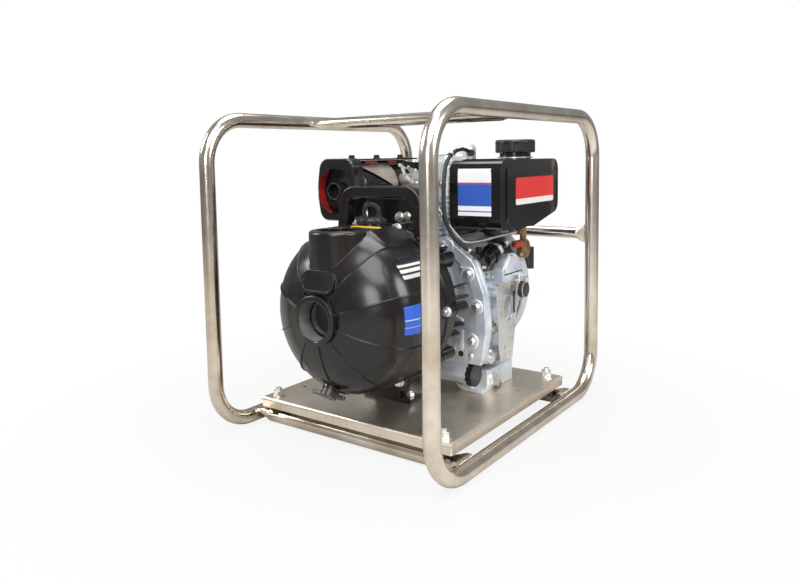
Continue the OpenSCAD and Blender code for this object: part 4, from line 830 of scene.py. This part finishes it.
deckStrip = {"face": "z", "corners": (-16, -166.5, 40, -157), "corner": 1.2, "level": (133.2, 134.5),
             "edge": 0.2}
suctionRim = {
    "place": (0, -278.4, 0), "aim": (0, -1, 0), "steps": 64, "hollow": True,
    "profile": [(31.6, 0), (31.6, 1.5), (32.4, 2.3), (37.2, 2.3), (38.4, 1.4), (38.4, 0)]}
dischargeRim = {
    "place": (0, -217, 132.4), "aim": (0, 0, 1), "steps": 64, "hollow": True,
    "profile": [(31.4, 0), (31.4, 1.4), (32.8, 2.2), (35.0, 2.2), (36.4, 1.2), (36.4, 0)]}
paintDab = {"angles": (72, 36, 0), "circle": 136, "y": -123.9,
            "profile": [(4.2, -0.2), (4.0, 0.25), (2.4, 0.7), (0.6, 0.9)]}


def casingDabs():
    dabs = Shape()
    for angle in paintDab["angles"]:
        turn, reach = math.radians(angle), paintDab["circle"]
        place = (reach * math.cos(turn), paintDab["y"], reach * math.sin(turn))
        dabs.lathe(place, (0, -1, 0), paintDab["profile"], steps=18)
    dabs.piece("paint_dabs", "frame", "bright", "bluePaintDab")


for name in casingLabels:
    casingLabel(name)
formed([deckStrip], "deck_strip", "frame", "black_paint", "yellowStrip")
formed([suctionRim, dischargeRim], "port_rims", "frame", "black_iron", "glossBlackIron")
casingDabs()
print("pump dressed")


# tank: labels on its front and its side, ring round its filler neck
tank = {"front": -19, "flat": (104, 160), "flatTop": 218, "edge": 20}
frontLabel = {"low": (92, 145), "high": (171, 224)}
sideLabel = {"face": "x", "corners": (38, 160.5, 192, 207), "corner": 5, "level": (179.95, 180.35)}
neckRing = {"place": (130, 137, 239.6), "aim": (0, 0, 1), "steps": 40, "hollow": True,
            "profile": [(28.2, 0), (31.5, 0.4), (31.5, 2.2), (29.5, 2.8), (28.2, 2.8)]}


def tankFrontLabel():
    # follows the tank's rounded edges
    (x0, z0), (x1, z1) = frontLabel["low"], frontLabel["high"]
    edge = tank["edge"]

    def place(u, v, lift):
        x = x0 + (x1 - x0) * u
        z = z0 + (z1 - z0) * v
        past = max(tank["flat"][0] - x, x - tank["flat"][1], 0)
        inset = edge - math.sqrt(edge ** 2 - past ** 2)
        corner = edge - inset
        over = max(z - tank["flatTop"], 0)
        y = tank["front"] + inset + corner - math.sqrt(corner ** 2 - over ** 2) - lift
        return tuple(onShaft(x, y, z))

    bentLabel("tank_front_label", "tankFrontLabel", place, wide=24, tall=12, thick=0.4)


tankFrontLabel()
formed([sideLabel], "tank_side_label", "frame", "black_paint", "tankSideLabel")
formed([neckRing], "filler_neck_ring", "frame", "bright", "zincPlate")


# muffler: band in its cover's recess and a black plate on the recess floor, painted shade inside the
# recess, pads on its guard, strap with bolts beside it
recess = {"x": -138, "z": 185, "radius": 42, "angles": (112, 255), "face": -58.5, "depth": 19.0,
          "least": 0.08, "power": 0.45, "skin": (-0.05, 0.7), "steps": 26}


def recessBand():
    # deepest halfway round and shallow at both ends
    rings = []
    first, last = recess["angles"]
    r, steps = recess["radius"], recess["steps"]
    under, over = recess["skin"]
    for k in range(steps + 1):
        turn = math.radians(first + (last - first) * k / steps)
        place = Vector((recess["x"] + r * math.cos(turn), 0, recess["z"] + r * math.sin(turn)))
        inward = Vector((-math.cos(turn), 0, -math.sin(turn)))
        taper = max(math.sin(math.pi * k / steps), 0) ** recess["power"]
        near = recess["face"]
        far = near + recess["depth"] * max(taper, recess["least"])
        ring = []
        for depth, lift in ((near, under), (near, over), (far, over), (far, under)):
            ring.append(onShaft(*(place + inward * lift + Vector((0, depth, 0)))))
        rings.append(ring)
    band = Shape()
    band.ringed(rings)
    band.piece("recess_band", "frame", "red", "redEnamel")


# black plate on the recess floor round the tail pipe: painted shade inside the recess
recessShadeDisc = {
    "place": (-138, -35.9, 185), "aim": (0, -1, 0), "steps": 56, "hollow": True,
    "profile": [(40.5, 0), (40.5, 1.0), (38, 1.8), (24, 2.6), (19.5, 4.6), (17.2, 4.6), (17.0, 0.1)]}
guardPads = [{"face": "y", "corners": (-97.8, 235.6, -96.6, 238.6), "corner": 0.3, "level": level}
             for level in ((-17, 19), (-79, -54))]
strap = {"route": [(-56, 231), (-50, 228), (-43, 211), (-30, 201), (-17, 196)], "half": 2.6,
         "overlap": 1.2, "level": (-32.0, -30.2), "edge": 0.2}
strapFoot = {"face": "y", "corners": (-50, 224, -30, 229), "corner": 1.0, "level": (-32.0, -30.0),
             "edge": 0.2}


def heatStrap():
    # one slab for each stretch of the route, overlapping at the bends
    band = Shape()
    for a, b in zip(strap["route"], strap["route"][1:]):
        way = (Vector(b) - Vector(a)).normalized()
        off = Vector((-way.y, way.x)) * strap["half"]
        p, q = Vector(a) - way * strap["overlap"], Vector(b) + way * strap["overlap"]
        outline = [tuple(corner) for corner in (p - off, q - off, q + off, p + off)]
        band.slab("y", outline, strap["level"], strap["edge"])
    band.box(**strapFoot)
    band.piece("heat_strap", "frame", "bright", "whiteEnamel")


recessBand()
formed([recessShadeDisc], "recess_shade_disc", "frame", "black_paint", "sootAndShadeBlack")
formed(guardPads, "guard_pads", "frame", "red", "redEnamel")
heatStrap()
boltSet("strap_bolts")
boltSet("cowl_bolts")
print("tank and muffler dressed")


# crankcase cover and governor cover: cast pads, a grommet, a flat black disc that is painted shade of a
# hole, a groove and small bolts
coverPads = [
    {"face": "y", "corners": (89, 58, 114, 86), "corner": 3, "level": (-4.3, -3.2), "edge": 0.6},
    {"place": (68, 4.2, 88), "aim": (0, -1, 0), "steps": 32,
     "profile": [(13, 0), (13, 3.2), (12, 4.4), (9.5, 5.0)]},
    {"face": "y", "corners": (80, -96, 96, -58), "corner": 4, "level": (-4.2, -1.8), "edge": 0.8},
]
grommetAndHoleShade = [
    {"place": (66, 4.1, 62), "aim": (0, -1, 0), "steps": 28,
     "profile": [(11, 0), (11, 3.0), (8.5, 5.0), (5.0, 5.2), (4.6, 3.4)]},
    # flat black disc: painted shade of a hole in the cover
    {"place": (90, 4.1, -102), "aim": (0, -1, 0), "steps": 20,
     "profile": [(5.2, 0), (5.2, 0.5), (4.4, 0.6)]},
]
groove = {"face": "x", "corners": (66, 32.6, 136, 35.0), "corner": 0.8, "level": (144.3, 144.62)}
formed(coverPads, "cover_pads", "frame", "cast_alu", "castAluminium")
formed(grommetAndHoleShade, "cover_grommet_and_hole_shade", "frame", "rubber", "blackRubberAndHoleShade")
boltSet("cover_screws")
formed([groove], "governor_groove", "frame", "rubber", "blackRubberAndHoleShade")
boltSet("governor_screws")
boltSet("case_side_bolts")


# fuel side: nuts along the injection pump's axis, seal dot, hose clips, pressure fitting, edge trim
unionNuts = {"start": (118, 34, 62), "way": (19, 82, 34), "sides": 6, "nuts": [
    (33, [(12.9, 0), (13.6, 1.0), (13.6, 11), (12.9, 12)]),
    (61.6, [(3.6, -3), (6.9, 0), (6.9, 7), (6.0, 8)])]}


def pumpUnionNuts():
    pair = Shape()
    start, way = Vector(unionNuts["start"]), Vector(unionNuts["way"]).normalized()
    for along, profile in unionNuts["nuts"]:
        pair.lathe(start + way * along, way, profile, unionNuts["sides"])
    pair.piece("pump_union_nuts", "frame", "bright", "zincPlate", sharp=30)


# radii in mm, then place, way along the hose and half the width of each clip
hoseClip = {"inner": 3.5, "outer": 4.7, "clips": [
    ((109.5, -1.6, 83.6), (10, 14, -14), 2.6), ((70.2, 10, 249.2), (5, -32, -18), 2.4)]}


def hoseClips():
    pair = Shape()
    inner, outer = hoseClip["inner"], hoseClip["outer"]
    for place, way, half in hoseClip["clips"]:
        profile = [(inner, -half), (outer, -half), (outer, half), (inner, half)]
        pair.lathe(place, way, profile, steps=24, hollow=True)
    pair.piece("hose_clips", "frame", "bright", "zincPlate")


sealDot = {"place": (131, 100, 70.2), "aim": (0, 0, 1), "steps": 20,
           "profile": [(3.0, -0.4), (3.0, 2.2), (2.2, 3.0)]}
fittingNut = {"place": (123.4, 44, -52), "aim": (1, 0, 0), "steps": 6,
              "profile": [(7.4, 0), (7.8, 0.6), (7.8, 4.6), (7.2, 5.2)]}
fittingStem = {"place": (128.4, 44, -52), "aim": (1, 0, 0), "steps": 24,
               "profile": [(4.6, 0), (4.6, 5.0), (3.4, 6.0), (3.4, 9.0), (2.4, 9.6)]}
trim = {"face": "x", "corners": (89.5, -38, 96.5, 2), "corner": 1.6, "level": (148.9, 149.9),
        "edge": 0.3}
trimStud = {"count": 9, "first": (149.85, 93, -34), "pitch": 4.4,
            "profile": [(1.3, 0), (1.3, 0.25), (0.9, 0.3)]}


def edgeTrimStuds():
    studs = Shape()
    x, y, z = trimStud["first"]
    for k in range(trimStud["count"]):
        place = (x, y, z + trimStud["pitch"] * k)
        studs.lathe(place, (1, 0, 0), trimStud["profile"], steps=12)
    studs.piece("edge_trim_studs", "frame", "bright", "machinedSteel")


pumpUnionNuts()
formed([sealDot], "seal_dot", "frame", "red", "redPlastic")
hoseClips()
formed([fittingNut, fittingStem], "pressure_fitting", "frame", "amber", "plainBrass", 30)
formed([trim], "edge_trim", "frame", "rubber", "blackRubberAndHoleShade")
edgeTrimStuds()


# crankcase side: cast webs and bosses; knob of the speed lever
webs = {"start": 17, "ends": ((58, -24), (60, -47), (60, -74)), "tall": 4, "drop": 3,
        "level": (119, 129), "edge": 1.2}
caseBosses = [
    {"place": (122, 30, -36), "aim": (1, 0, 0), "steps": 28,
     "profile": [(8, 0), (8, 5.0), (7, 6.4), (3.4, 6.8)]},
    {"place": (122, 38, 8), "aim": (1, 0, 0), "steps": 28,
     "profile": [(10, 0), (10, 4.4), (8.8, 5.6), (5, 6.0), (4.6, 4.0)]},
]
footPad = {"corners": [(18, -96), (34, -88), (40, -60), (18, -56)], "corner": 4,
           "level": (119, 126.5), "edge": 1.4}


def caseWebs():
    cast = Shape()
    y0, tall, drop = webs["start"], webs["tall"], webs["drop"]
    for y1, z in webs["ends"]:
        outline = [(y0, z), (y1, z - drop), (y1, z + tall - drop), (y0, z + tall)]
        cast.slab("x", outline, webs["level"], webs["edge"])
    for boss in caseBosses:
        cast.lathe(**boss)
    outline = roundedOutline(footPad["corners"], footPad["corner"])
    cast.slab("x", outline, footPad["level"], footPad["edge"])
    cast.piece("case_webs", "frame", "cast_alu", "castAluminium")


knob = {"place": (156.2, 104, 4), "aim": (1, 0, 0), "steps": 36,
        "profile": [(13.2, 0), (14.9, 1.6), (14.9, 9.2), (13.0, 11.6), (6.0, 12.2)]}


# rings in the suction port where its thread would be, and the worn sleeve behind them
portRings = {"face": -279.6, "count": 9, "pitch": 2.6, "rise": 1.0, "fall": 2.0, "crest": 29.5,
             "root": 29.95, "back": 30.3, "length": 25}
portSleeve = {"place": (0, -254.5, 0), "aim": (0, 1, 0), "steps": 64, "hollow": True,
              "profile": [(26.3, 0), (25.6, 0), (25.6, 8.8), (26.3, 8.8)]}


def portLining():
    lining = Shape()
    crest, root, back = portRings["crest"], portRings["root"], portRings["back"]
    pitch, rise, fall = portRings["pitch"], portRings["rise"], portRings["fall"]
    profile = [(back, 0), (root, 0)]
    for k in range(portRings["count"]):
        along = pitch * k
        profile += [(crest, rise + along), (root, fall + along), (root, pitch + along)]
    profile.append((back, portRings["length"]))
    lining.lathe((0, portRings["face"], 0), (0, 1, 0), profile, steps=64, hollow=True)
    lining.lathe(**portSleeve)
    lining.piece("port_thread_lining", "frame", "black_iron", "wornPort")


# cord inside the starter, which the handle draws out through the guide, in mm
starterCord = {"inner": -72, "mouth": 1, "along": 213, "level": 269, "radius": 1.98, "spacing": 6}


def ropeInnerRun():
    y, z = starterCord["along"], starterCord["level"]
    line = straightLine((starterCord["inner"], y, z), (starterCord["mouth"], y, z), count=4)
    tubePiece("rope_inner_run", line, starterCord, "recoil", "braidedCord")


caseWebs()
formed([knob], "lever_knob", "speed_lever", "black_plastic", "blackPlastic")
portLining()
ropeInnerRun()
print("engine dressed")


# camera, floor and light
view = {
    "place": (0.72908, -1.07764, 0.46791),
    "azimuth": 36.98,
    "elevation": 5.42,
    "roll": -1.1,
    "picture": (800, 582),  # in pixels, as are focal and middle
    "focal": 721.72,
    "middle": (379.15, 226.4),
    "film": 36,
    "clip": (0.01, 50),
}


def makeCamera():
    a, e, r = (math.radians(view[key]) for key in ("azimuth", "elevation", "roll"))
    back = Vector((math.sin(a) * math.cos(e), -math.cos(a) * math.cos(e), math.sin(e)))
    level = Vector((math.cos(a), math.sin(a), 0))
    right = level * math.cos(r) + back.cross(level) * math.sin(r)
    wide, tall = view["picture"]
    lens = bpy.data.cameras.new("camera")
    lens.sensor_width = view["film"]
    lens.lens = view["focal"] / wide * view["film"]
    lens.shift_x = (wide / 2 - view["middle"][0]) / wide
    lens.shift_y = (view["middle"][1] - tall / 2) / wide
    lens.clip_start, lens.clip_end = view["clip"]
    holder = linked("camera", lens)
    turn = Matrix((right, back.cross(right), back)).transposed()
    holder.matrix_world = Matrix.Translation(view["place"]) @ turn.to_4x4()
    bpy.context.scene.camera = holder


lamps = {
    "key": {"place": (0.9, -1.3, 2.3), "size": 2.1, "power": 60},
    "side": {"place": (2.3, 0.1, 1.4), "size": 1.2, "power": 32},
    "left": {"place": (-2.0, -1.1, 1.6), "size": 1.1, "power": 32},
    "top": {"place": (-0.2, 0.5, 2.6), "size": 1.9, "power": 42},
    "low": {"place": (0.9, -2.2, 0.9), "size": 0.9, "power": 16},
}
lampTarget = (0, 0, 0.25)
studio = {"floor": (0.44, 0.43, 0.42), "floorSize": 12, "floorZ": -0.0005, "sky": (0.90, 0.92, 0.95),
          "glow": 0.27, "glossShare": 0.06, "nearWhite": 0.86, "shadowReach": (0.32, 0.80)}


def makeLamps():
    for name, kind in lamps.items():
        lamp = bpy.data.lights.new(name, "AREA")
        lamp.shape = "DISK"
        lamp.size = kind["size"]
        lamp.energy = kind["power"]
        holder = linked(name, lamp)
        holder.location = kind["place"]
        aim = Vector(lampTarget) - Vector(kind["place"])
        holder.rotation_euler = aim.to_track_quat("-Z", "Y").to_euler()


def makeWorld():
    # white to the camera, a soft glow for light
    world = bpy.data.worlds.new("studio")
    world.use_nodes = True
    bpy.context.scene.world = world
    r = Recipe(world.node_tree)
    camera = r.make("ShaderNodeLightPath", out="Is Camera Ray")
    glossy = r.make("ShaderNodeLightPath", out="Is Glossy Ray")
    through = r.make("ShaderNodeLightPath", out="Is Transmission Ray")
    glow = r.make("ShaderNodeBackground", {"Color": studio["sky"], "Strength": studio["glow"]})
    white = r.make("ShaderNodeBackground", {"Color": (1, 1, 1), "Strength": 1.0})
    share = camera.either(through).either(glossy * studio["glossShare"])
    shown = r.make("ShaderNodeMixShader", {0: share, 1: glow, 2: white})
    r.make("ShaderNodeOutputWorld", {"Surface": shown})


def makeFloor():
    # a faint shadow near the part, white away from it
    made, r = material("studioFloor")
    camera = r.make("ShaderNodeLightPath", out="Is Camera Ray")
    through = r.make("ShaderNodeLightPath", out="Is Transmission Ray")
    x, y, z = r.axes()
    away = (x * x + y * y) ** 0.5
    near, far = studio["shadowReach"]
    plain = r.step(away, near, far) * (1 - studio["nearWhite"]) + studio["nearWhite"]
    matt = r.make("ShaderNodeBsdfDiffuse", {"Color": studio["floor"]})
    white = r.make("ShaderNodeEmission", {"Color": (1, 1, 1), "Strength": 1.0})
    seen = camera.either(through) * plain
    shown = r.make("ShaderNodeMixShader", {0: seen, 1: matt, 2: white})
    r.make("ShaderNodeOutputMaterial", {"Surface": shown})
    size = studio["floorSize"]
    corners = [(-size, -size, 0), (size, -size, 0), (size, size, 0), (-size, size, 0)]
    mesh = bpy.data.meshes.new("studio_floor")
    mesh.from_pydata(corners, [], [(0, 1, 2, 3)])
    mesh.materials.append(made)
    floor = linked("studio_floor", mesh)
    floor.location.z = studio["floorZ"]


makeCamera()
makeLamps()
makeWorld()
makeFloor()
bpy.context.scene.view_settings.view_transform = "Standard"
print("camera, lamps and floor made")
